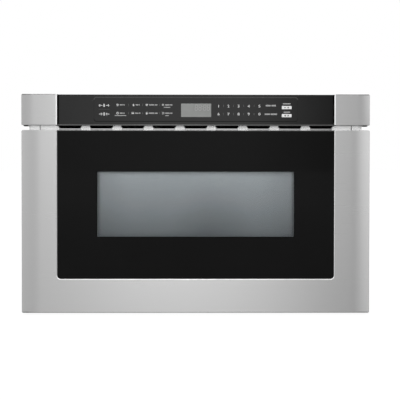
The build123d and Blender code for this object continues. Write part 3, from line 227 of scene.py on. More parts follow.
def perforated_screen(low, high, half_width):
    """Steel sheet with etched holes, printed grey under a painted sheen and shade: from afar the fine holes
    blend into one tone.
    """
    material, tree, screen, place = begin("perforated_screen", Roughness=0.5, Metallic=0.2)
    # the holes are 1.6 mm apart
    per_hole = 1 / (1.6 * MM)
    flat = add(tree, "Mapping", {"Vector": place, "Scale": (per_hole, 0.0, per_hole)}).outputs[0]
    cells = add(tree, "TexVoronoi", {"Vector": flat, "Scale": 1.0, "Randomness": 0.0}).outputs["Distance"]
    rims = {"Value": cells, "From Min": 0.2, "From Max": 0.26, "To Min": 1.0, "To Max": 0.0}
    hole = add(tree, "MapRange", rims).outputs[0]
    parts = add(tree, "SeparateXYZ", {"Vector": place})
    # painted sheen and shade: the grey is lighter at the top and darker towards the lower edge
    height = {"Value": parts.outputs["Z"], "From Min": low * MM, "From Max": high * MM}
    painted_sheen = add(tree, "MapRange", height).outputs[0]
    tone = add(tree, "Mix", {0: painted_sheen, 6: "707478", 7: "B8BCC0"}, data_type="RGBA").outputs[2]
    # painted shade: the grey darkens slowly towards the two ends, and fast over the last millimetres, where
    # the inked glass shades the screen
    side = add(tree, "Math", {0: parts.outputs["X"]}, operation="ABSOLUTE").outputs[0]
    edge_shade_runs = []
    for length, share in ((70, 0.24), (7, 0.48)):
        run = {"Value": side, "From Min": (half_width - length) * MM, "From Max": half_width * MM}
        run["To Max"] = share
        edge_shade_runs.append(add(tree, "MapRange", run, interpolation_type="SMOOTHSTEP").outputs[0])
    edge_shade = add(tree, "Math", {0: edge_shade_runs[0], 1: edge_shade_runs[1]}, operation="ADD").outputs[0]
    edged = add(tree, "Mix", {0: edge_shade, 6: tone, 7: "3C3E40"}, data_type="RGBA").outputs[2]
    # painted shade: the holes are painted dark for the shaded oven behind them, and a darker patch is painted
    # low in the middle
    dark_x, dark_z, reach_x, reach_z = 22.5, 135.0, 75.0, 100.0
    spot = {"Vector": place, "Location": (-dark_x / reach_x, 0.0, -dark_z / reach_z)}
    spot["Scale"] = (1 / (reach_x * MM), 0.0, 1 / (reach_z * MM))
    spread = add(tree, "Mapping", spot).outputs[0]
    oven_shade_patch = add(tree, "TexGradient", {"Vector": spread}, gradient_type="SPHERICAL").outputs["Fac"]
    depth = add(tree, "Math", {0: oven_shade_patch, 1: 0.5}, operation="MULTIPLY").outputs[0]
    shaded = add(tree, "Mix", {0: depth, 6: edged, 7: "505356"}, data_type="RGBA").outputs[2]
    pierced = add(tree, "Mix", {0: hole, 6: shaded, 7: "2A2B2C"}, data_type="RGBA").outputs[2]
    feed(tree, screen, {"Base Color": pierced})
    return material


def glazed_ceramic():
    """Glazed glass-ceramic tray: warm white under a smooth glaze, with a soft unevenness from firing."""
    gloss = {"Roughness": 0.18, "Coat_Weight": 0.6, "Coat_Roughness": 0.05, "Subsurface_Weight": 0.05}
    material, tree, glaze, place = begin("glazed_ceramic", **gloss)
    cloud = add(tree, "TexNoise", {"Vector": place, "Scale": 1 / (60 * MM), "Detail": 3.0}).outputs["Fac"]
    tone = add(tree, "Mix", {0: cloud, 6: "E2E1DB", 7: "EFEEEA"}, data_type="RGBA").outputs[2]
    bump = add(tree, "Bump", {"Height": cloud, "Strength": 0.1, "Distance": 0.3 * MM}).outputs[0]
    feed(tree, glaze, {"Base Color": tone, "Normal": bump})
    return material


def pressed_mica():
    """Pressed mica sheet: matt tan with pale flakes that catch the light."""
    material, tree, mica, place = begin("pressed_mica")
    flakes = add(tree, "TexVoronoi", {"Vector": place, "Scale": 1 / (4 * MM), "Randomness": 1.0})
    shade = add(tree, "SeparateColor", {"Color": flakes.outputs["Color"]})
    tone = add(tree, "Mix", {0: shade.outputs[0], 6: "B5A68A", 7: "CFC3AB"}, data_type="RGBA").outputs[2]
    dull = add(tree, "MapRange", {"Value": shade.outputs[1], "To Min": 0.3, "To Max": 0.6}).outputs[0]
    feed(tree, mica, {"Base Color": tone, "Roughness": dull})
    return material


def solder_mask():
    """Circuit board under green solder mask: glossy lacquer over tracks a little lighter than the board."""
    gloss = {"Roughness": 0.28, "Coat_Weight": 0.3, "Coat_Roughness": 0.1}
    material, tree, mask, place = begin("solder_mask", **gloss)
    tracks = {"Vector": place, "Scale": 1 / (9 * MM), "Mortar": "2B6E3D", "Mortar Size": 0.06}
    board = {"Color1": "1C5A30", "Color2": "17502A"}
    feed(tree, mask, {"Base Color": add(tree, "TexBrick", tracks | board).outputs["Color"]})
    return material


def varnished_laminations():
    """A stack of thin core-steel sheets dipped in varnish: dark brown, ribbed by the edges of the sheets."""
    material, tree, core, place = begin("varnished_laminations", Roughness=0.4, Metallic=0.4)
    # sheets are 0.5 mm thick, drawn 1 mm apart
    stack = {"Vector": place, "Scale": 1 / (2 * pi * MM), "Distortion": 0.4, "Detail": 1.0}
    ribs = add(tree, "TexWave", stack, bands_direction="Y").outputs["Fac"]
    tone = add(tree, "Mix", {0: ribs, 6: "2B2724", 7: "4A443E"}, data_type="RGBA").outputs[2]
    bump = add(tree, "Bump", {"Height": ribs, "Strength": 0.4, "Distance": 0.1 * MM}).outputs[0]
    feed(tree, core, {"Base Color": tone, "Normal": bump})
    return material


# the painted sheen and edge shade on the screen run out to where the ink of the glass laps over it
SCREEN_MARGIN = 13.0
screen_low, screen_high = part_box("window_screen")
STEEL = brushed_stainless("brushed_stainless", "C3C3C3", "C7C7C7")
CAP_STEEL = brushed_stainless("brushed_stainless_caps", "BCBCBC", "C0C0C0")
BRIGHT_STEEL = smooth_metal("bright_annealed_steel", "F4F4F4", "FCFCFC", 0.24)
POLISHED = smooth_metal("polished_steel_edge", "F2F2F2", "FAFAFA", 0.26)
DARK_TRIM = smooth_metal("dark_anodised_trim", "575757", "616161", 0.16)
SATIN_TRIM = smooth_metal("satin_anodised_trim", "6C6C6C", "787878", 0.2)
# painted shade: a dark steel for the folded edges
FOLD_SHADE_STEEL = smooth_metal("rolled_steel_fold_painted_shade", "727272", "7A7A7A", 0.3)
SLOT_LIP = smooth_metal("drawn_slot_lip", "BCBCBC", "C4C4C4", 0.1)
ZINC_SHEET = galvanised_sheet()
ENAMEL = speckled_enamel()
SLIDE_STEEL = zinc_plated_steel()
DOOR_GLASS = printed_glass("door_glass_ink", "121212", "151515", 1.15)
FASCIA_GLASS = printed_glass("fascia_glass_ink", "0B0B0B", "111111", 1.425)
CLEAR_GLASS = clear_glass()
LENS = smoked_lens()
BLACK_ABS = moulded_plastic("moulded_black_abs", "131314", "1C1C1D", 0.5)
GREY_ABS = moulded_plastic("moulded_grey_abs", "8A8B8C", "989A9B", 0.45)
# painted light: a grey lighter than the duct's black plastic
DUCT_LIFTED_GREY = moulded_plastic("duct_grey_painted_light", "686A6B", "727475", 0.5)
WHITE_ACETAL = moulded_plastic("moulded_white_acetal", "D9D8D2", "E4E3DE", 0.4)
SCREEN = perforated_screen(
    screen_low.z / MM + SCREEN_MARGIN,
    screen_high.z / MM - SCREEN_MARGIN,
    screen_high.x / MM - SCREEN_MARGIN,
)
CERAMIC = glazed_ceramic()
MICA = pressed_mica()
BOARD = solder_mask()
CORE = varnished_laminations()
ALUMINIUM = pressed_aluminium()
RUBBER = moulded_rubber()
WHITE_INK = printed_ink("white_legend_ink", "D4D4D4", "E2E2E2")
GREY_LABEL = printed_ink("grey_label_ink", "A4A4A4", "B0B0B0")
GREY_INK = printed_ink("grey_guide_ink", "6A6A6A", "747474")
# painted highlight and painted shadow for the edges of the touch outline
GUIDE_HIGHLIGHT_INK = printed_ink("guide_line_painted_highlight", "4C4C4C", "525252")
GUIDE_PRINT_AND_SHADOW_INK = printed_ink("guide_line_print_and_painted_shadow", "1C1C1C", "202020")
# painted shade for the two ends of the fascia glass
END_SHADE_INK = printed_ink("fascia_end_painted_shade", "030303", "050505", 0.1)
GHOST_INK = printed_ink("unlit_segment_film", "A2A2A2", "A8A8A8")
WINDOW_EDGE = printed_ink("window_edge_print", "7C8082", "868A8C")
KEY_WHITE = printed_ink("key_box_ink", "ECECEC", "F8F8F8")

SLOT_MATERIALS = {
    "stainless": STEEL,
    "galvanised": ZINC_SHEET,
    "enamel": ENAMEL,
    "slide_steel": SLIDE_STEEL,
    "black_glass": DOOR_GLASS,
    "clear_glass": CLEAR_GLASS,
    "display_lens": LENS,
    "black_plastic": BLACK_ABS,
    "grey_plastic": GREY_ABS,
    "white_plastic": WHITE_ACETAL,
    "screen_metal": SCREEN,
    "ceramic": CERAMIC,
    "mica": MICA,
    "rubber": RUBBER,
    "circuit_board": BOARD,
    "core_steel": CORE,
    "fin_metal": ALUMINIUM,
}


def dress(node, material):
    """Give a CAD node a finish in place of the plain one that it was packed with."""
    for material_slot in NODES[node].material_slots:
        material_slot.material = material


for subpart in frame["record"]["subparts"]:
    dress(subpart["node"], SLOT_MATERIALS[subpart["material_slot"]])
dress("control_glass", FASCIA_GLASS)
dress("front_flange", BRIGHT_STEEL)
dress("vent_grille", BRIGHT_STEEL)
dress("glass_top_trim", SATIN_TRIM)
# painted light: the black duct is given a grey to lift it in the shade inside the slots
dress("exhaust_duct", DUCT_LIFTED_GREY)


# ---- Mesh helpers: a drawing plane's facing, then outlines and the forms made from them
FRONT = Matrix(((1, 0, 0, 0), (0, 0, -1, 0), (0, 1, 0, 0), (0, 0, 0, 1)))
LEVEL = Matrix.Identity(4)
SIDE = Matrix(((0, 0, 1, 0), (1, 0, 0, 0), (0, 1, 0, 0), (0, 0, 0, 1)))
SIDE_LEFT = Matrix(((0, 0, -1, 0), (-1, 0, 0, 0), (0, 1, 0, 0), (0, 0, 0, 1)))
BACK = Matrix(((-1, 0, 0, 0), (0, 0, 1, 0), (0, 1, 0, 0), (0, 0, 0, 1)))


def edges(node):
    """A node's box in millimetres: its ends in x, y and z."""
    low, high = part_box(node)
    return tuple((low[axis] / MM, high[axis] / MM) for axis in range(3))


def around(centre, size):
    """The two ends of something that lies evenly about its centre."""
    return (centre - size / 2, centre + size / 2)


def shrunk(ends, inset):
    """Two ends moved towards each other, or apart where the inset is negative."""
    return (ends[0] + inset, ends[1] - inset)


def rectangle(across, up, corner=0.0, steps=5):
    """The outline of a rectangle between two ends across and two up, with round corners."""
    if corner <= 0:
        return [(across[1], up[1]), (across[0], up[1]), (across[0], up[0]), (across[1], up[0])]
    points = []
    turns = ((across[1], up[1], 0), (across[0], up[1], 90), (across[0], up[0], 180), (across[1], up[0], 270))
    for x, z, first in turns:
        centre_x = x - corner if x == across[1] else x + corner
        centre_z = z - corner if z == up[1] else z + corner
        for step in range(steps + 1):
            angle = radians(first + 90 * step / steps)
            points.append((centre_x + corner * cos(angle), centre_z + corner * sin(angle)))
    return points


def circle(centre, radius, steps=24):
    """The outline of a circle."""
    turns = [2 * pi * step / steps for step in range(steps)]
    return [(centre[0] + radius * cos(turn), centre[1] + radius * sin(turn)) for turn in turns]


def stroke(points, width):
    """The outline of a line of one width along a path of points."""
    path = [Vector(point) for point in points]
    left, right = [], []
    for index, point in enumerate(path):
        before = path[max(index - 1, 0)]
        after = path[min(index + 1, len(path) - 1)]
        along = (after - before).normalized()
        aside = Vector((-along.y, along.x)) * width / 2
        left.append(tuple(point + aside))
        right.append(tuple(point - aside))
    return left + right[::-1]


def moved(outline, across, up, scale=1.0):
    """An outline scaled about the origin and moved."""
    return [(x * scale + across, z * scale + up) for x, z in outline]


def set_symbol(symbol, across, up, scale=1.0):
    """A symbol drawn about the origin, set on the panel: every outline of every group is moved."""
    return [[moved(outline, across, up, scale) for outline in group] for group in symbol]


def mesh_of(curve):
    """The mesh that a curve makes. The curve itself is removed."""
    holder = bpy.data.objects.new("outline", curve)
    SCENE.collection.objects.link(holder)
    graph = bpy.context.evaluated_depsgraph_get()
    mesh = bpy.data.meshes.new_from_object(holder.evaluated_get(graph))
    bpy.data.objects.remove(holder)
    return mesh


def set_on(mesh, facing, at):
    """A mesh turned from the drawing plane to its facing, at a depth along the axis that it faces."""
    mesh.transform(facing)
    depth_axis = Vector([abs(value) for value in facing.col[2].to_3d()])
    mesh.transform(Matrix.Translation(depth_axis * at * MM))
    return mesh


def plate(outlines, facing, at, thickness, edge=0.0, rounds=2):
    """A flat plate with holes: its middle plane lies at a depth, and its edges are rounded."""
    curve = bpy.data.curves.new("outline", "CURVE")
    curve.dimensions = "2D"
    curve.fill_mode = "BOTH"
    curve.extrude = (thickness / 2 - edge) * MM
    curve.bevel_depth = edge * MM
    curve.bevel_resolution = rounds
    curve.offset = -edge * MM
    for outline in outlines:
        spline = curve.splines.new("POLY")
        spline.points.add(len(outline) - 1)
        for point, (u, v) in zip(spline.points, outline):
            point.co = (u * MM, v * MM, 0, 1)
        spline.use_cyclic_u = True
    return set_on(mesh_of(curve), facing, at)


def wire(points, radius):
    """A round wire along a path, with flat ends."""
    curve = bpy.data.curves.new("path", "CURVE")
    curve.dimensions = "3D"
    curve.bevel_depth = radius * MM
    curve.bevel_resolution = 4
    curve.use_fill_caps = True
    spline = curve.splines.new("POLY")
    spline.points.add(len(points) - 1)
    for point, place in zip(spline.points, points):
        point.co = (place[0] * MM, place[1] * MM, place[2] * MM, 1)
    return mesh_of(curve)


def turned(profile, facing, centre, at, steps=32):
    """A turned shape: its profile gives radius and height, and it stands on a depth along its facing."""
    form = bmesh.new()
    rings = [
        [form.verts.new((u * MM, v * MM, height * MM)) for u, v in circle(centre, radius, steps)]
        for radius, height in profile
    ]
    for lower, upper in zip(rings, rings[1:]):
        for step in range(steps):
            after = (step + 1) % steps
            form.faces.new((lower[step], lower[after], upper[after], upper[step]))
    form.faces.new(reversed(rings[0]))
    form.faces.new(rings[-1])
    mesh = bpy.data.meshes.new("turned")
    form.to_mesh(mesh)
    form.free()
    return set_on(mesh, facing, at)


WELD_GAP = 0.001
FLAT = 0.9995


def piece(name, meshes, materials, body, replaces=(), smooth=35):
    """One piece of the object, riding on a CAD body. Meshes past the last material have that one too."""
    finishes = list(dict.fromkeys(materials))
    form = bmesh.new()
    for index, mesh in enumerate(meshes):
        welded = bmesh.new()
        welded.from_mesh(mesh)
        bmesh.ops.remove_doubles(welded, verts=welded.verts, dist=WELD_GAP * MM)
        bmesh.ops.dissolve_degenerate(welded, edges=welded.edges, dist=WELD_GAP * MM)
        for face in welded.faces:
            face.material_index = finishes.index(materials[min(index, len(materials) - 1)])
            # flat faces keep their own shading, so only the rounded edges between them are blended
            face.smooth = smooth > 0 and max(abs(part) for part in face.normal) < FLAT
        welded.to_mesh(mesh)
        welded.free()
        form.from_mesh(mesh)
    joined = bpy.data.meshes.new(name)
    form.to_mesh(joined)
    form.free()
    for material in finishes:
        joined.materials.append(material)
    shading = [face.use_smooth for face in joined.polygons]
    packed_normals = joined.attributes.get("custom_normal")
    if packed_normals:
        joined.attributes.remove(packed_normals)
    if smooth > 0:
        joined.set_sharp_from_angle(angle=radians(smooth))
    joined.polygons.foreach_set("use_smooth", shading)
    item = bpy.data.objects.new(name, joined)
    SCENE.collection.objects.link(item)
    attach(item, body)
    if replaces:
        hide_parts(*replaces)


# ---- Door glass: one pane, inked black all round a clear window, over the screen
glass_x, glass_y, glass_z = edges("door_glass")
screen_x, screen_z = edges("window_screen")[::2]
# the ink laps over the screen, a little more at the right and at the bottom
SCREEN_LAP, RIGHT_LAP, LOW_LAP = 12.6, 13.0, 13.4
window_x = (screen_x[0] + SCREEN_LAP, screen_x[1] - RIGHT_LAP)
window_z = (screen_z[0] + LOW_LAP, screen_z[1] - SCREEN_LAP)
WINDOW_CORNER = 1.0
GLASS_CORNER, CORNER_STEPS = 7.0, 8
GLASS_EDGE = 0.35
glass_middle = sum(glass_y) / 2
glass_thickness = glass_y[1] - glass_y[0]
# the pane's corners are round at the bottom only, so the upper ones are cut off level
tall_pane = rectangle(glass_x, (glass_z[0], glass_z[1] + GLASS_CORNER), GLASS_CORNER, CORNER_STEPS)
pane_outline = [(x, min(z, glass_z[1])) for x, z in tall_pane]
window = rectangle(window_x, window_z, WINDOW_CORNER)
inked = plate([pane_outline, window], FRONT, glass_middle, glass_thickness, GLASS_EDGE)
piece("inked_glass", [inked], [DOOR_GLASS], "drawer", replaces=["door_glass"])
pane = plate([window], FRONT, glass_middle, glass_thickness)
piece("window_glass", [pane], [CLEAR_GLASS], "drawer")

# a bright rolled edge of the steel runs round the glass; along the left stile it is given the darker brushed
# steel as painted shade
BEAD, BEAD_SPREAD, BEAD_SETBACK = 0.9, 0.75, 0.1
bead_y = glass_y[0] + BEAD_SETBACK
bead_box = rectangle(
    shrunk(glass_x, -BEAD_SPREAD), (glass_z[0] - BEAD_SPREAD, glass_z[1]), GLASS_CORNER, CORNER_STEPS
)
foot = [(x, bead_y, z) for x, z in bead_box[len(bead_box) // 2 :]]
shaded_left_run = [(foot[0][0], bead_y, glass_z[1]), foot[0]]
right_run = foot + [(foot[-1][0], bead_y, glass_z[1])]
bead_runs = [wire(right_run, BEAD), wire(shaded_left_run, BEAD)]
piece("glass_bead", bead_runs, [POLISHED, STEEL], "drawer")

# a pale line is printed behind the glass, just inside the window
RIM_INSETS = (0.2, 0.7)
RIM_CORNERS = (1.0, 0.6)
RIM_GAP = 0.4
rim_outlines = [
    rectangle(shrunk(window_x, inset), shrunk(window_z, inset), corner)
    for inset, corner in zip(RIM_INSETS, RIM_CORNERS)
]
rim = plate(rim_outlines, FRONT, glass_y[1] + RIM_GAP, thickness=0.2)
piece("window_rim_print", [rim], [WINDOW_EDGE], "drawer")


# ---- Control panel: printed touch area, symbols, numbers and the unlit display
cap_y, cap_z = edges("end_cap_left")[1:]
fascia_x, fascia_y, fascia_z = edges("control_glass")
lens_front = edges("display_window")[1][0]
INK = 0.1
ink_y = fascia_y[0] - INK / 2


def printed(name, groups, ink, at=ink_y):
    """Symbols in one ink, each group of outlines on its own so that shapes may lie over one another."""
    meshes = [plate(group, FRONT, at, INK) for group in groups]
    piece(name, meshes, [ink], "cabinet", smooth=0)


# the touch outline is drawn with a painted highlight along its top edge and a painted shadow along its bottom
# edge, and its sides hardly show
touch_x, touch_z = (-177.0, 177.0), (336.6, 378.2)
TOUCH_CORNER = 4.0
TOUCH_LINE, TOUCH_SIDE_LINE = 1.4, 0.3
touch_outline = rectangle(touch_x, touch_z, TOUCH_CORNER)
arcs = len(touch_outline) // 2
printed("touch_area_outline_highlight", [[stroke(touch_outline[:arcs], TOUCH_LINE)]], GUIDE_HIGHLIGHT_INK)
shadow_lines = [[stroke(touch_outline[arcs:], TOUCH_LINE)]]
for x in touch_x:
    side = [(x, z) for z in shrunk(touch_z, TOUCH_CORNER)]
    shadow_lines.append([stroke(side, TOUCH_SIDE_LINE)])
printed("touch_area_shadow_line", shadow_lines, GUIDE_PRINT_AND_SHADOW_INK)

# painted shade: the glass's two ends, which lie in shade, are drawn as near-black bands
LEFT_BAND, RIGHT_BAND = 3.6, 3.2
end_shade_bands = [
    [rectangle((fascia_x[0], fascia_x[0] + LEFT_BAND), fascia_z)],
    [rectangle((fascia_x[1] - RIGHT_BAND, fascia_x[1]), fascia_z)],
]
printed("fascia_end_shade_bands", end_shade_bands, END_SHADE_INK)

# symbols are drawn about the origin, each as groups of outlines, and stand about 4.4 mm tall
SYMBOL = 4.4
half = SYMBOL / 2
LINE = 0.6
RING, TEETH = 0.7, 8
ring = [circle((0, 0), half), circle((0, 0), half - RING)]
gear_teeth = []
for step in range(4 * TEETH):
    turn = 2 * pi * step / (4 * TEETH)
    reach = half if step % 4 < 2 else half - RING
    gear_teeth.append((reach * cos(turn), reach * sin(turn)))
gear = [[gear_teeth, circle((0, 0), 0.8)]]
DROP, DROP_LOW = 1.45, -0.75
drop_turns = [radians(turn) for turn in range(150, 391, 20)]
drop = [[[(0, half)] + [(DROP * cos(turn), DROP_LOW + DROP * sin(turn)) for turn in drop_turns]]]
flake = [
    [stroke([(-half * cos(turn), -half * sin(turn)), (half * cos(turn), half * sin(turn))], LINE)]
    for turn in (pi / 2, pi / 6, -pi / 6)
]
clock = [ring, [stroke([(0, 1.4), (0, 0), (1.1, -0.6)], LINE)]]
kernel = [[circle((-0.95, 0.5), 1.1)], [circle((0.95, 0.5), 1.1)], [circle((0, -0.85), 1.2)]]
steam = [
    [stroke([(shift + 0.35 * sin(level / 2), -half + level * 0.55) for level in range(9)], 0.55)]
    for shift in (-1.4, 0, 1.4)
]
cup = [[[(-1.6, 1.1), (-1.2, -half), (0.9, -half), (1.3, 1.1)]]]
cup.append([circle((1.7, 0), 0.95), circle((1.7, 0), 0.45)])
cup += [[stroke([(x, 1.5), (x + 0.3, 1.9), (x, 2.4)], 0.4)] for x in (-0.8, 0.3)]
butter = [[rectangle((-half, half), (-1.5, 0.2), 0.4)]]
butter.append([stroke([(-half, 1.1), (-0.7, 1.6), (0.7, 1.0), (half, 1.5)], LINE)])


def arrow(tip, tail):
    """A drawn arrow along a level line: its shaft, then its open head."""
    back = tip + 1.9 * (1 if tail > tip else -1)
    shaft = rectangle(sorted((tip, tail)), (-0.4, 0.4))
    head = stroke([(back, 1.7), (tip, 0), (back, -1.7)], 0.8)
    return [[shaft], [head]]


# the two drawer keys: arrows away from a bar for out, and towards it for in
KEY_X, KEY_SCALE = -159.5, 1.25
key_bar = [[rectangle((-0.9, 0.9), (-half, half), 0.3)]]
out_key = arrow(-7.4, -2.4) + key_bar + arrow(7.4, 2.4)
in_key = arrow(-2.2, -7.2) + key_bar + arrow(2.2, 7.2)
drawer_keys = set_symbol(out_key, KEY_X, 364.2, KEY_SCALE) + set_symbol(in_key, KEY_X, 349.2, KEY_SCALE)
printed("drawer_key_symbols", drawer_keys, WHITE_INK)
DASHES, DASH, DASH_PITCH = 7, 1.5, 2.7
first_dash = KEY_X - (DASHES - 1) / 2 * DASH_PITCH
dash_x = [first_dash + DASH_PITCH * index for index in range(DASHES)]
dashes = [[rectangle(around(x, DASH), around(357.6, 0.5))] for x in dash_x]
printed("drawer_key_divider", dashes, GREY_INK)

# the program keys: symbol, middle, height, width of the first bar and of a second one below, if any
UPPER, LOWER = 365.2, 350.8
PROGRAMS = (
    (gear, -131.1, UPPER, 8.5, None),
    (drop, -104.1, UPPER, 7.0, None),
    (kernel, -77.1, UPPER, 14.5, None),
    (flake, -50.1, UPPER, 12.5, 11.0),
    (clock, -131.1, LOWER, 8.5, 20.0),
    (butter, -104.1, LOWER, 9.5, None),
    (cup, -77.1, LOWER, 15.0, None),
    (steam, -50.1, LOWER, 12.5, 6.0),
)
BAR, SECOND_BAR, SECOND_DROP = 2.1, 1.5, 4.2
SYMBOL_GAP, WORD_GAP, WORD_SHARE = 1.6, 1.0, 0.62
symbols, labels = [], []
for symbol, across, up, length, second in PROGRAMS:
    start = across - (SYMBOL + SYMBOL_GAP + length) / 2
    symbols += set_symbol(symbol, start + half, up)
    first = start + SYMBOL + SYMBOL_GAP
    word_end = first + length * WORD_SHARE
    for word in ((first, word_end), (word_end + WORD_GAP, first + length)):
        labels.append([rectangle(word, around(up, BAR), 0.5)])
    if second:
        labels.append([rectangle(around(across, second), around(up - SECOND_DROP, SECOND_BAR), 0.4)])
printed("program_symbols", symbols, WHITE_INK)
printed("program_label_bars", labels, GREY_LABEL)

# the number keys, right of the display
DIGIT_X = (39.5, 56.6, 74.2, 91.9, 110.6)
DIGIT_ROWS = (("12345", 363.3), ("67890", 349.5))
DIGIT_HEIGHT, DIGIT_WIDENING, DIGIT_WEIGHT = 4.4, 1.2, 0.14
# in the built-in face a figure is this share of the text size
FIGURE_SHARE = 0.7


def digit(character, across, up):
    """A figure in the plain built-in face."""
    text = bpy.data.curves.new("figure", "FONT")
    text.body = character
    text.size = DIGIT_HEIGHT / FIGURE_SHARE * MM
    text.align_x = "CENTER"
    text.extrude = INK / 2 * MM
    text.offset = DIGIT_WEIGHT * MM
    mesh = mesh_of(text)
    mesh.transform(Matrix.Diagonal((DIGIT_WIDENING, 1, 1, 1)))
    mesh.transform(FRONT)
    mesh.transform(Matrix.Translation(Vector((across, ink_y, up - DIGIT_HEIGHT / 2)) * MM))
    return mesh


figures = [digit(character, x, up) for row, up in DIGIT_ROWS for character, x in zip(row, DIGIT_X)]
piece("number_keys", figures, [WHITE_INK], "cabinet", smooth=0)

PROGRAM_TICKS_X = (-117.0, -92.6, -63.0)
ticks = []
for up in (UPPER, LOWER):
    for across in PROGRAM_TICKS_X:
        ticks.append([rectangle(around(across, 0.5), around(up, 4.0))])
    for before, after in zip(DIGIT_X, DIGIT_X[1:]):
        ticks.append([rectangle(around((before + after) / 2, 0.6), around(up - 1.4, 3.6))])
printed("key_dividers", ticks, GREY_INK)

# bars in place of words at the right: their ends, middle height and width of line
SIDE_LABELS = (
    ((121.5, 130.2), 364.2, 2.6),
    ((131.4, 139.4), 364.2, 2.6),
    ((119.8, 129.0), 349.3, 2.6),
    ((130.2, 141.2), 349.3, 2.6),
    ((151.2, 164.8), 367.4, 1.9),
    ((152.8, 163.8), 352.8, 1.9),
)
side_labels = [[rectangle(ends, around(up, height), 0.5)] for ends, up, height in SIDE_LABELS]
printed("side_label_bars", side_labels, GREY_LABEL)

# the start and stop keys are pale boxes with two marks each, drawn about the origin
KEY_BOX_X, KEY_BOXES_Z = (149.6, 166.6), ((358.1, 363.7), (344.1, 349.7))
START_Z, STOP_Z, MARK_LEFT, MARK_RIGHT = 360.8, 346.8, 2.5, 2.6
middle = sum(KEY_BOX_X) / 2
key_boxes = [[rectangle(KEY_BOX_X, ends, 0.7)] for ends in KEY_BOXES_Z]
play = [[[(-1.3, 1.4), (-1.3, -1.4), (1.4, 0)]]]
plus = [[stroke([(-1.6, 0), (1.6, 0)], 0.8)], [stroke([(0, 1.6), (0, -1.6)], 0.8)]]
stop = [[rectangle(around(0, 2.6), around(0, 2.6))]]
cross = [[stroke([(-1.4, 1.4), (1.4, -1.4)], 0.8)], [stroke([(-1.4, -1.4), (1.4, 1.4)], 0.8)]]
key_marks = set_symbol(play, middle - MARK_LEFT, START_Z) + set_symbol(plus, middle + MARK_RIGHT, START_Z)
key_marks += set_symbol(stop, middle - MARK_LEFT, STOP_Z) + set_symbol(cross, middle + MARK_RIGHT, STOP_Z)
printed("start_stop_boxes", key_boxes, KEY_WHITE)
printed("start_stop_marks", key_marks, GREY_INK, ink_y - INK)

# the display is off: its slanted segments show only as a paler film
SEGMENT, SEGMENT_GAP, SLANT = 1.0, 0.35, 0.3
DISPLAY_Z, DISPLAY_DIGIT, DISPLAY_DIGITS_X = 360.6, (4.0, 4.6), (-1.2, 5.2, 13.4, 19.8)
# the ends of each segment, in a digit's width across and half its height up
SEGMENT_PLACES = (
    ((0, 1), (1, 1)),
    ((1, 1), (1, 0)),
    ((1, 0), (1, -1)),
    ((1, -1), (0, -1)),
    ((0, -1), (0, 0)),
    ((0, 0), (0, 1)),
    ((0, 0), (1, 0)),
)
COLON_X, COLON_Z = 11.3, (362.6, 358.6)
ghosts = []
for left in DISPLAY_DIGITS_X:
    for ends in SEGMENT_PLACES:
        start, end = (
            Vector((left + x * DISPLAY_DIGIT[0] + z * SLANT, DISPLAY_Z + z * DISPLAY_DIGIT[1]))
            for x, z in ends
        )
        short = (end - start).normalized() * SEGMENT_GAP
        ghosts.append([stroke([start + short, end - short], SEGMENT)])
colon = [[circle((COLON_X, up), radius=0.6, steps=12)] for up in COLON_Z]
ghosts += colon
printed("unlit_segments", ghosts, GHOST_INK, lens_front - INK / 2)


# ---- Panel edges: the lip below the glass, and the polished inner edges of the two caps
LIP_HEIGHT, LIP_SETBACK = 2.15, 0.8
lip_z = (fascia_z[0] - LIP_HEIGHT, fascia_z[0])
lip = plate([rectangle(fascia_x, lip_z)], FRONT, fascia_y[0] + LIP_SETBACK, thickness=1.9, edge=0.3)
piece("panel_lip_trim", [lip], [DARK_TRIM], "cabinet")
EDGE_BAND, BAND_MARGIN, BAND_SETBACK = 2.0, 0.5, 0.85
cap_edges = []
for side in (-1, 1):
    band = sorted((side * fascia_x[1], side * (fascia_x[1] + EDGE_BAND)))
    outline = rectangle(band, shrunk(cap_z, BAND_MARGIN))
    cap_edges.append(plate([outline], FRONT, cap_y[0] + BAND_SETBACK, thickness=2.0, edge=0.15))
piece("cap_polished_edges", cap_edges, [POLISHED], "cabinet")

# dark ends of the panel housing show at the caps' lower corners, and at the grille's two ends a thin black
# film is painted shade for the gaps
grille_y, grille_z = edges("vent_grille")[1:]
flange_face = edges("front_flange")[1][0]
shell_z = edges("drawer_front_shell")[2]
FLANGE_SEAMS_X, SEAM, SEAM_SHADE_FILM = (-273.6, 274.7), 1.2, 0.1
# each foot of the housing: its ends across, its ends from the cap's edge, corner, depth and thickness
HOUSING_FEET = (
    ((292.8, 300.2), (-1.7, 0.5), 0.8, -275, 20),
    ((240.2, 244.0), (-1.0, 0.6), 0.5, -280, 28),
)
dark_bits = []
for side, seam in zip((-1, 1), FLANGE_SEAMS_X):
    for ends, (under, over), corner, depth, thickness in HOUSING_FEET:
        across = sorted(side * x for x in ends)
        housing_foot = rectangle(across, (cap_z[0] + under, cap_z[0] + over), corner)
        dark_bits.append(plate([housing_foot], FRONT, depth, thickness))
    # painted shade: a thin black film stands for the gap at this end of the grille
    gap_shade = rectangle(around(seam, SEAM), (grille_z[0], cap_z[0]))
    dark_bits.append(plate([gap_shade], FRONT, flange_face - SEAM_SHADE_FILM / 2, SEAM_SHADE_FILM))
piece("panel_dark_ends_and_gap_shade", dark_bits, [BLACK_ABS], "cabinet")

# the sheet's folded edges along the top of the caps and the bottom of the drawer are given a dark steel as
# painted shade
FOLD_RADIUS, FOLD_PROUD = 0.85, 0.05
fold_y = cap_y[0] + FOLD_RADIUS - FOLD_PROUD


def fold(ends, height):
    """A folded edge between two ends across."""
    return wire([(x, fold_y, height) for x in ends], FOLD_RADIUS)


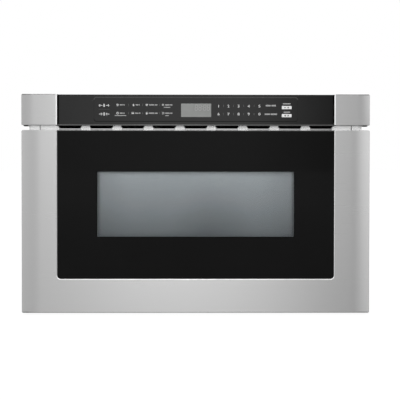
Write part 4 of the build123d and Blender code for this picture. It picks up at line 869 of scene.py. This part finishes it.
cap_folds = [fold((side * 242.2, side * 301.6), cap_z[1] - FOLD_RADIUS) for side in (-1, 1)]
piece("cap_top_folds", cap_folds, [FOLD_SHADE_STEEL], "cabinet")
piece("drawer_lower_fold", [fold((-301.0, 301.0), shell_z[0] + FOLD_RADIUS)], [FOLD_SHADE_STEEL], "drawer")

# each slot of the grille has a drawn lip along its lower edge
SLOTS, SLOT_PITCH, SLOT_LENGTH = 9, 55.3, 38.8
SLOT_LIP_Z = (shell_z[1] + 0.9, shell_z[1] + 4.0)
slot_lips = []
for index in range(SLOTS):
    slot_x = (index - (SLOTS - 1) / 2) * SLOT_PITCH
    lip_outline = rectangle(around(slot_x, SLOT_LENGTH), SLOT_LIP_Z, corner=1.0)
    slot_lips.append(plate([lip_outline], FRONT, grille_y[0] - 0.1, thickness=1.4, edge=0.65, rounds=3))
piece("grille_slot_lips", slot_lips, [SLOT_LIP], "cabinet")


# ---- Steel fronts: the pressed sheets are gently crowned towards their outer edges
CROWN_STEPS, CROWN_SKIN, CROWN_RIM = 12, 2.0, 1.0


def crowned(name, node, body, start, depth, steel):
    """A copy of a front whose face falls back, more and more, from a distance out to its outer edge."""
    form = bmesh.new()
    form.from_mesh(NODES[node].data)
    face_y = edges(node)[1][0]
    reach = max(abs(value) for value in edges(node)[0])
    for step in range(CROWN_STEPS):
        for side in (-1, 1):
            x = side * (start + (reach - CROWN_RIM - start) * step / CROWN_STEPS)
            everything = form.verts[:] + form.edges[:] + form.faces[:]
            bmesh.ops.bisect_plane(form, geom=everything, plane_co=(x * MM, 0, 0), plane_no=(1, 0, 0))
    for corner in form.verts:
        beyond = (abs(corner.co.x) / MM - start) / (reach - start)
        if beyond > 0 and corner.co.y / MM < face_y + CROWN_SKIN:
            corner.co.y += depth * beyond * beyond * MM
    mesh = bpy.data.meshes.new(name)
    form.to_mesh(mesh)
    form.free()
    piece(name, [mesh], [steel], body, [node])


crowned("crowned_drawer_front", "drawer_front_shell", "drawer", 270.0, 1.6, STEEL)
crowned("crowned_cap_left", "end_cap_left", "cabinet", 282.0, 0.7, CAP_STEEL)
crowned("crowned_cap_right", "end_cap_right", "cabinet", 282.0, 0.7, CAP_STEEL)


# ---- Cabinet: pressed stiffening beads, louvre hoods, weld marks and screws
SCREW_HEIGHT = 3.4


def screw(facing, centre, at, radius):
    """A hexagon washer-head screw with a cross recess: its steel, then the dark recess."""
    washer = turned([(radius, 0), (radius, 0.5), (radius * 0.8, 0.9)], facing, centre, at)
    flats = [(radius * 0.76, 0.6), (radius * 0.76, 2.9), (radius * 0.66, SCREW_HEIGHT)]
    head = turned(flats, facing, centre, at, 6)
    # the four wings of the recess taper a little towards their tips
    arm, web, tip = radius * 0.42, radius * 0.1, radius * 0.07
    wing = [(arm, tip), (web, web), (tip, arm)]
    quarters = ((1, 0), (0, 1), (-1, 0), (0, -1))
    recess = [(x * cosine - z * sine, x * sine + z * cosine) for cosine, sine in quarters for x, z in wing]
    outward = sum(facing.col[2].to_3d())
    dark = plate([moved(recess, *centre)], facing, at + outward * SCREW_HEIGHT, thickness=0.1)
    return [washer, head, dark]


def screws(name, places, body, replaces=(), radius=4.8):
    """Screws of one size, given as facing, centre and depth."""
    meshes = []
    for facing, centre, at in places:
        meshes += screw(facing, centre, at, radius)
    finishes = [SLIDE_STEEL, SLIDE_STEEL, BLACK_ABS] * len(places)
    piece(name, meshes, finishes, body, replaces)


RIB, RIB_HEIGHT = 12.0, 2.4
RIB_ROUND = RIB_HEIGHT * 0.97
RIB_CORNER = RIB / 2 - 0.1


def pressed(name, beads):
    """Beads pressed out of the cabinet's sheet: half-round ribs that stand proud of its face."""
    meshes = [
        plate(outlines, facing, at, thickness=2 * RIB_HEIGHT, edge=RIB_ROUND, rounds=4)
        for outlines, facing, at in beads
    ]
    piece(name, meshes, [ZINC_SHEET], "cabinet")


cover_x, cover_z = edges("outer_cover")[::2]
rear_y = edges("rear_panel")[1][1]
# the cabinet's two sides: how each faces, its sign across, and its face
SIDES = ((SIDE, 1, cover_x[1]), (SIDE_LEFT, -1, cover_x[0]))

FOOT_SCREW_Z = 8.4
foot_screws = [(BACK, (-x, FOOT_SCREW_Z), rear_y) for x in (-222.96, 0.0, 222.96)]
for y in (-177.5, 207.7):
    foot_screws += [(facing, (sign * y, FOOT_SCREW_Z), face) for facing, sign, face in SIDES]
screws("case_screw_heads", foot_screws, "cabinet", ["case_screws"])

side_ribs = []
for up in (104.0, 312.0):
    outline = rectangle((-205, 255), around(up, RIB), RIB_CORNER)
    side_ribs += [([[(sign * y, z) for y, z in outline]], facing, face) for facing, sign, face in SIDES]
pressed("side_stiffening_beads", side_ribs)
top_outlines = [rectangle((-215, 215), around(y, RIB), RIB_CORNER) for y in (-190, 235)]
top_outlines += [rectangle(around(x, RIB), (-155, 200), RIB_CORNER) for x in (-209, -105, 0, 105, 209)]
pressed("top_stiffening_beads", [([outline], LEVEL, cover_z[1]) for outline in top_outlines])

LOUVRES, LOUVRE_PITCH, LOUVRE_Y, LOUVRE_Z, LOUVRE_LENGTH = 6, 16.0, 221.2, 205.0, 97
hoods = []
for index in range(LOUVRES):
    y = LOUVRE_Y + (index - (LOUVRES - 1) / 2) * LOUVRE_PITCH
    hood = rectangle((y - 1.2, y + 6.2), around(LOUVRE_Z, LOUVRE_LENGTH), corner=3.6)
    for facing, sign, face in SIDES:
        outline = [(sign * v, z) for v, z in hood]
        hoods.append(plate([outline], facing, face + sign * 0.6, thickness=4.2, edge=2.0, rounds=3))
piece("louvre_hoods", hoods, [ZINC_SHEET], "cabinet")

# spot welds along the front and rear edges of the sides and of the top
WELD = [(3.2, -0.2), (3.2, 0.25), (2.3, 0.1)]
WELD_ROWS_Y = (-249.0, 283.0)
welds = []
for up in range(40, 331, 58):
    for y in WELD_ROWS_Y:
        welds += [turned(WELD, facing, (sign * y, up), face, 20) for facing, sign, face in SIDES]
for x in range(-240, 241, 60):
    welds += [turned(WELD, LEVEL, (x, y), cover_z[1], 20) for y in WELD_ROWS_Y]
piece("spot_weld_marks", welds, [ZINC_SHEET], "cabinet")

FAN_X, FAN_Z, FAN_SCREW = -160.0, 205.0, 54
fan = (-FAN_X, FAN_Z)
rear_outlines = [
    [rectangle((-262, 262), (28, 350), 16), rectangle((-252, 252), (38, 340), 8)],
    [circle(fan, 72, 64), circle(fan, 63, 64)],
]
rear_outlines += [[rectangle((-225, 55), around(up, RIB), RIB_CORNER)] for up in (120, 180, 240, 300)]
pressed("rear_stiffening_beads", [(outlines, BACK, rear_y) for outlines in rear_outlines])
fan_corners = [(u * FAN_SCREW, v * FAN_SCREW) for u in (-1, 1) for v in (-1, 1)]
fan_screws = [(BACK, (fan[0] + u, fan[1] + v), rear_y) for u, v in fan_corners]
screws("fan_screw_heads", fan_screws, "cabinet", radius=3.4)
edge_places = [(x, 357.5) for x in (-225, -75, 75, 225)]
edge_places += [(x, z) for x in (-270, 270) for z in (90, 240)] + [(-195, 52)]
screws("rear_edge_screws", [(BACK, place, rear_y) for place in edge_places], "cabinet", radius=4.2)

gland_x, gland_z = edges("cord_gland")[::2]
gland = (-sum(gland_x) / 2, sum(gland_z) / 2)
COLLAR = [(14.5, 0), (14.5, 1.8), (13.6, 2.4), (9.5, 2.4), (8.6, 3.4), (6.2, 3.4), (5.6, 1.0)]
piece("gland_collar", [turned(COLLAR, BACK, gland, rear_y)], [BLACK_ABS], "cabinet")

housing_top = edges("control_housing")[2][1]
pad_outlines = [rectangle(around(x, 34), (-286, -270), 2) for x in range(-200, 201, 80)]
pads = [plate([outline], LEVEL, housing_top, thickness=0.5, edge=0.2) for outline in pad_outlines]
piece("housing_top_pads", pads, [BLACK_ABS], "cabinet")


# ---- Drawer: what shows when it is open
panel_back = edges("door_inner_panel")[1][1]
panel_places = [(x, z) for z in (40, 160, 280) for x in (-278, 278)]
panel_places += [(x, z) for x in (-150, 0, 150) for z in (16, 308)]
screws("inner_panel_screws", [(BACK, place, panel_back) for place in panel_places], "drawer", radius=3.6)

tray_x, tray_y, tray_z = edges("ceramic_tray")
TRAY_RING, RING_CORNER = 3, 26
tray_rings = []
for inset in (16, 24):
    ring_outlines = [
        rectangle(shrunk(tray_x, inset + step), shrunk(tray_y, inset + step), RING_CORNER - step)
        for step in (0, TRAY_RING)
    ]
    tray_rings.append(plate(ring_outlines, LEVEL, tray_z[1], thickness=1.2, edge=0.55, rounds=3))
piece("tray_raised_rings", tray_rings, [CERAMIC], "drawer")

# a rubber seal laps the inner window's edge
SEAL_SETBACK = 3.0
inner_x, inner_y, inner_z = edges("inner_window")
seal_outlines = [
    rectangle(shrunk(inner_x, inset), shrunk(inner_z, inset), corner) for inset, corner in ((-3, 9), (6, 5))
]
seal = plate(seal_outlines, FRONT, inner_y[0] + SEAL_SETBACK, thickness=2.0, edge=0.8, rounds=3)
piece("inner_window_seal", [seal], [RUBBER], "drawer")

# a pierced sheet covers the lamp's opening in the cavity's ceiling
LAMP_X, LAMP_Y, LAMP_SHEET_Z = 150.0, -61.75, 263.4
HOLE_PITCH, HOLE_RADIUS = 4.2, 1.5
rows = [HOLE_PITCH * step for step in range(-2, 3)]
lamp_holes = [circle((LAMP_X + u, LAMP_Y + v), HOLE_RADIUS, 12) for u in rows for v in rows]
lamp_square = rectangle(around(LAMP_X, 26), around(LAMP_Y, 26), corner=3)
lamp_sheet = plate([lamp_square] + lamp_holes, LEVEL, LAMP_SHEET_Z, thickness=0.6)
piece("lamp_perforation", [lamp_sheet], [ENAMEL], "cabinet")


# ---- Studio: pale floor, white surroundings and soft lamps
def stage_plane(name, corners, material):
    """A flat part of the studio, which isn't part of the object."""
    mesh = bpy.data.meshes.new(name)
    mesh.from_pydata(corners, [], [tuple(range(len(corners)))])
    mesh.materials.append(material)
    item = bpy.data.objects.new(name, mesh)
    SCENE.collection.objects.link(item)


def studio_floor():
    """Matt white studio floor: the camera sees it as plain white with a light shadow."""
    material = bpy.data.materials.new("studio_floor")
    material.use_nodes = True
    tree = material.node_tree
    tree.nodes.clear()
    matt = add(tree, "BsdfDiffuse", {"Color": "E6E6E6"}).outputs[0]
    rays = add(tree, "LightPath").outputs
    # in reflections the floor is dim near the object and as bright as the walls far away
    spot = add(tree, "TexCoord").outputs["Object"]
    away = add(tree, "VectorMath", {0: spot}, operation="LENGTH").outputs["Value"]
    dimming = {"Value": away, "From Min": 1.2, "From Max": 9.0, "To Min": 0.62, "To Max": 1.1}
    far = add(tree, "MapRange", dimming, interpolation_type="SMOOTHSTEP").outputs[0]
    # seen in the front's reflection, the floor falls off to the right as the wall does
    from_behind = add(tree, "VectorMath", {0: spot, 1: (-0.03, 2.2, 0.0)}, operation="SUBTRACT").outputs[0]
    toward = add(tree, "VectorMath", {0: from_behind}, operation="NORMALIZE").outputs[0]
    bearing = add(tree, "SeparateXYZ", {"Vector": toward}).outputs["X"]
    falling = {"Value": bearing, "From Min": 0.06, "From Max": 0.13, "To Min": 1.0, "To Max": 0.74}
    right_side = add(tree, "MapRange", falling, interpolation_type="SMOOTHSTEP").outputs[0]
    in_steel = add(tree, "Math", {0: far, 1: right_side}, operation="MULTIPLY").outputs[0]
    # the lamps don't reach the far floor, so there it glows a little more and stays plain white
    rising = {"Value": away, "From Min": 1.2, "From Max": 6.0, "To Min": 1.12, "To Max": 1.18}
    in_view = add(tree, "MapRange", rising).outputs[0]
    choice = {"Value": rays["Is Glossy Ray"], "To Min": in_view, "To Max": in_steel}
    strength = add(tree, "MapRange", choice).outputs[0]
    glow = add(tree, "Emission", {"Color": "FFFFFF", "Strength": strength}).outputs[0]
    # the camera sees four fifths glow, and metal and glass see the glow alone
    direct = add(tree, "Math", {0: rays["Is Camera Ray"], 1: 0.8}, operation="MULTIPLY").outputs[0]
    mirrored = add(tree, "Math", {0: direct, 1: rays["Is Glossy Ray"]}, operation="MAXIMUM").outputs[0]
    through = {0: mirrored, 1: rays["Is Transmission Ray"]}
    share = add(tree, "Math", through, operation="MAXIMUM").outputs[0]
    mix = add(tree, "MixShader", {0: share, 1: matt, 2: glow}).outputs[0]
    add(tree, "OutputMaterial", {"Surface": mix})
    return material


REACH = 40.0
floor_corners = [(-REACH, -REACH, 0), (REACH, -REACH, 0), (REACH, REACH, 0), (-REACH, REACH, 0)]
stage_plane("floor", floor_corners, studio_floor())

AMBIENT = 0.5


def studio_room(sky):
    """White surroundings, plain to the camera. Steel and glass see a wall and soft overhead light in them."""
    rays = add(sky, "LightPath").outputs
    glossy = rays["Is Glossy Ray"]
    seen = add(sky, "Math", {0: rays["Is Camera Ray"], 1: glossy}, operation="MAXIMUM").outputs[0]
    through = {0: seen, 1: rays["Is Transmission Ray"]}
    seen_through = add(sky, "Math", through, operation="MAXIMUM").outputs[0]
    # the wall that the front faces is brightest in its middle, so the steel rolls off softly to both sides
    direction = add(sky, "TexCoord").outputs["Generated"]
    bearings = add(sky, "SeparateXYZ", {"Vector": direction}).outputs
    soft = {"interpolation_type": "SMOOTHSTEP"}
    from_left = {"Value": bearings["X"], "From Min": -0.16, "From Max": 0.0, "To Min": 0.58, "To Max": 1.2}
    left_fall = add(sky, "MapRange", from_left, **soft).outputs[0]
    to_right = {"Value": bearings["X"], "From Min": 0.035, "From Max": 0.125, "To Min": 1.05, "To Max": 0.2}
    right_fall = add(sky, "MapRange", to_right, **soft).outputs[0]
    # two pale cards beside the wall brighten the steel's outer edges
    right_edge = {"Value": bearings["X"], "From Min": 0.17, "From Max": 0.25, "To Min": 0.0, "To Max": 1.65}
    right_card = add(sky, "MapRange", right_edge, **soft).outputs[0]
    left_edge = {"Value": bearings["X"], "From Min": -0.3, "From Max": -0.18, "To Min": 0.45, "To Max": 0.0}
    left_card = add(sky, "MapRange", left_edge).outputs[0]
    cards = add(sky, "Math", {0: left_card, 1: right_card}, operation="ADD").outputs[0]
    wall = add(sky, "Math", {0: left_fall, 1: right_fall, 2: cards}, operation="MULTIPLY_ADD").outputs[0]
    # elsewhere the room is lit from overhead, which gives every pressed edge a light and a dark side
    upward = {"Value": bearings["Z"], "From Min": 0.0, "From Max": 0.75, "To Min": 0.5, "To Max": 1.25}
    overhead = add(sky, "MapRange", upward, **soft).outputs[0]
    forward = {"Value": bearings["Y"], "From Min": -0.9, "From Max": -0.72, "To Min": 0.0, "To Max": 1.0}
    past_wall = add(sky, "MapRange", forward).outputs[0]
    room = add(sky, "Mix", {0: past_wall, 2: wall, 3: overhead}, data_type="FLOAT").outputs[0]
    plain = add(sky, "Math", {0: 1.0, 1: glossy}, operation="SUBTRACT").outputs[0]
    mirrored = add(sky, "Math", {0: room, 1: glossy, 2: plain}, operation="MULTIPLY_ADD").outputs[0]
    shown = add(sky, "MapRange", {"Value": seen_through, "To Min": AMBIENT, "To Max": 1.0}).outputs[0]
    strength = add(sky, "Math", {0: shown, 1: mirrored}, operation="MULTIPLY").outputs[0]
    background = add(sky, "Background", {"Color": "FFFFFF", "Strength": strength}).outputs[0]
    add(sky, "OutputWorld", {"Surface": background})


world = bpy.data.worlds.new("studio")
SCENE.world = world
world.use_nodes = True
world.node_tree.nodes.clear()
studio_room(world.node_tree)


def softbox(name, place, aim, size, power):
    """A soft lamp at a place, aimed at a point. Both are in metres, as its size is."""
    lamp = bpy.data.lights.new(name, "AREA")
    lamp.shape = "RECTANGLE"
    lamp.size, lamp.size_y = size
    lamp.energy = power
    item = bpy.data.objects.new(name, lamp)
    item.location = place
    item.rotation_euler = (Vector(aim) - Vector(place)).to_track_quat("-Z", "Y").to_euler()
    SCENE.collection.objects.link(item)


softbox("front_softbox", (-0.02, -2.6, 1.35), (0, -0.3, 0.2), (0.6, 1.1), 13)
softbox("left_softbox", (-2.4, -1.2, 1.8), (0, -0.2, 0.2), (1.0, 1.4), 22)
softbox("right_softbox", (2.4, 0.6, 1.4), (0, 0, 0.2), (0.8, 1.2), 10)
softbox("rear_softbox", (-0.8, 2.6, 1.6), (0, 0, 0.2), (1.2, 1.0), 14)
softbox("top_softbox", (0.3, 0.4, 2.6), (0, 0, 0.2), (1.8, 1.8), 18)


# ---- Camera: level with the drawer's middle and tipped down a little, on a long lens
CAMERA_DISTANCE = 2500.0
CAMERA_HEADING, CAMERA_TIP, CAMERA_ROLL = 0.8, 1.5, 0.055
AIM_X, AIM_Z = 7.3, 199.9
FOCAL_PIXELS, IMAGE_PIXELS = 1436.0, 400.0
SENSOR = 36.0
front_y = edges("drawer_front_shell")[1][0]
lens = bpy.data.cameras.new("camera")
lens.sensor_width = SENSOR
lens.lens = FOCAL_PIXELS / IMAGE_PIXELS * SENSOR
lens.clip_end = 100
camera = bpy.data.objects.new("camera", lens)
camera_x = AIM_X - CAMERA_DISTANCE * sin(radians(CAMERA_HEADING))
camera_z = AIM_Z + CAMERA_DISTANCE * sin(radians(CAMERA_TIP))
camera.matrix_world = (
    Matrix.Translation(Vector((camera_x, front_y - CAMERA_DISTANCE, camera_z)) * MM)
    @ Matrix.Rotation(radians(-CAMERA_HEADING), 4, "Z")
    @ Matrix.Rotation(radians(90 - CAMERA_TIP), 4, "X")
    @ Matrix.Rotation(radians(CAMERA_ROLL), 4, "Z")
)
SCENE.collection.objects.link(camera)
SCENE.camera = camera
SCENE.view_settings.view_transform = "Standard"
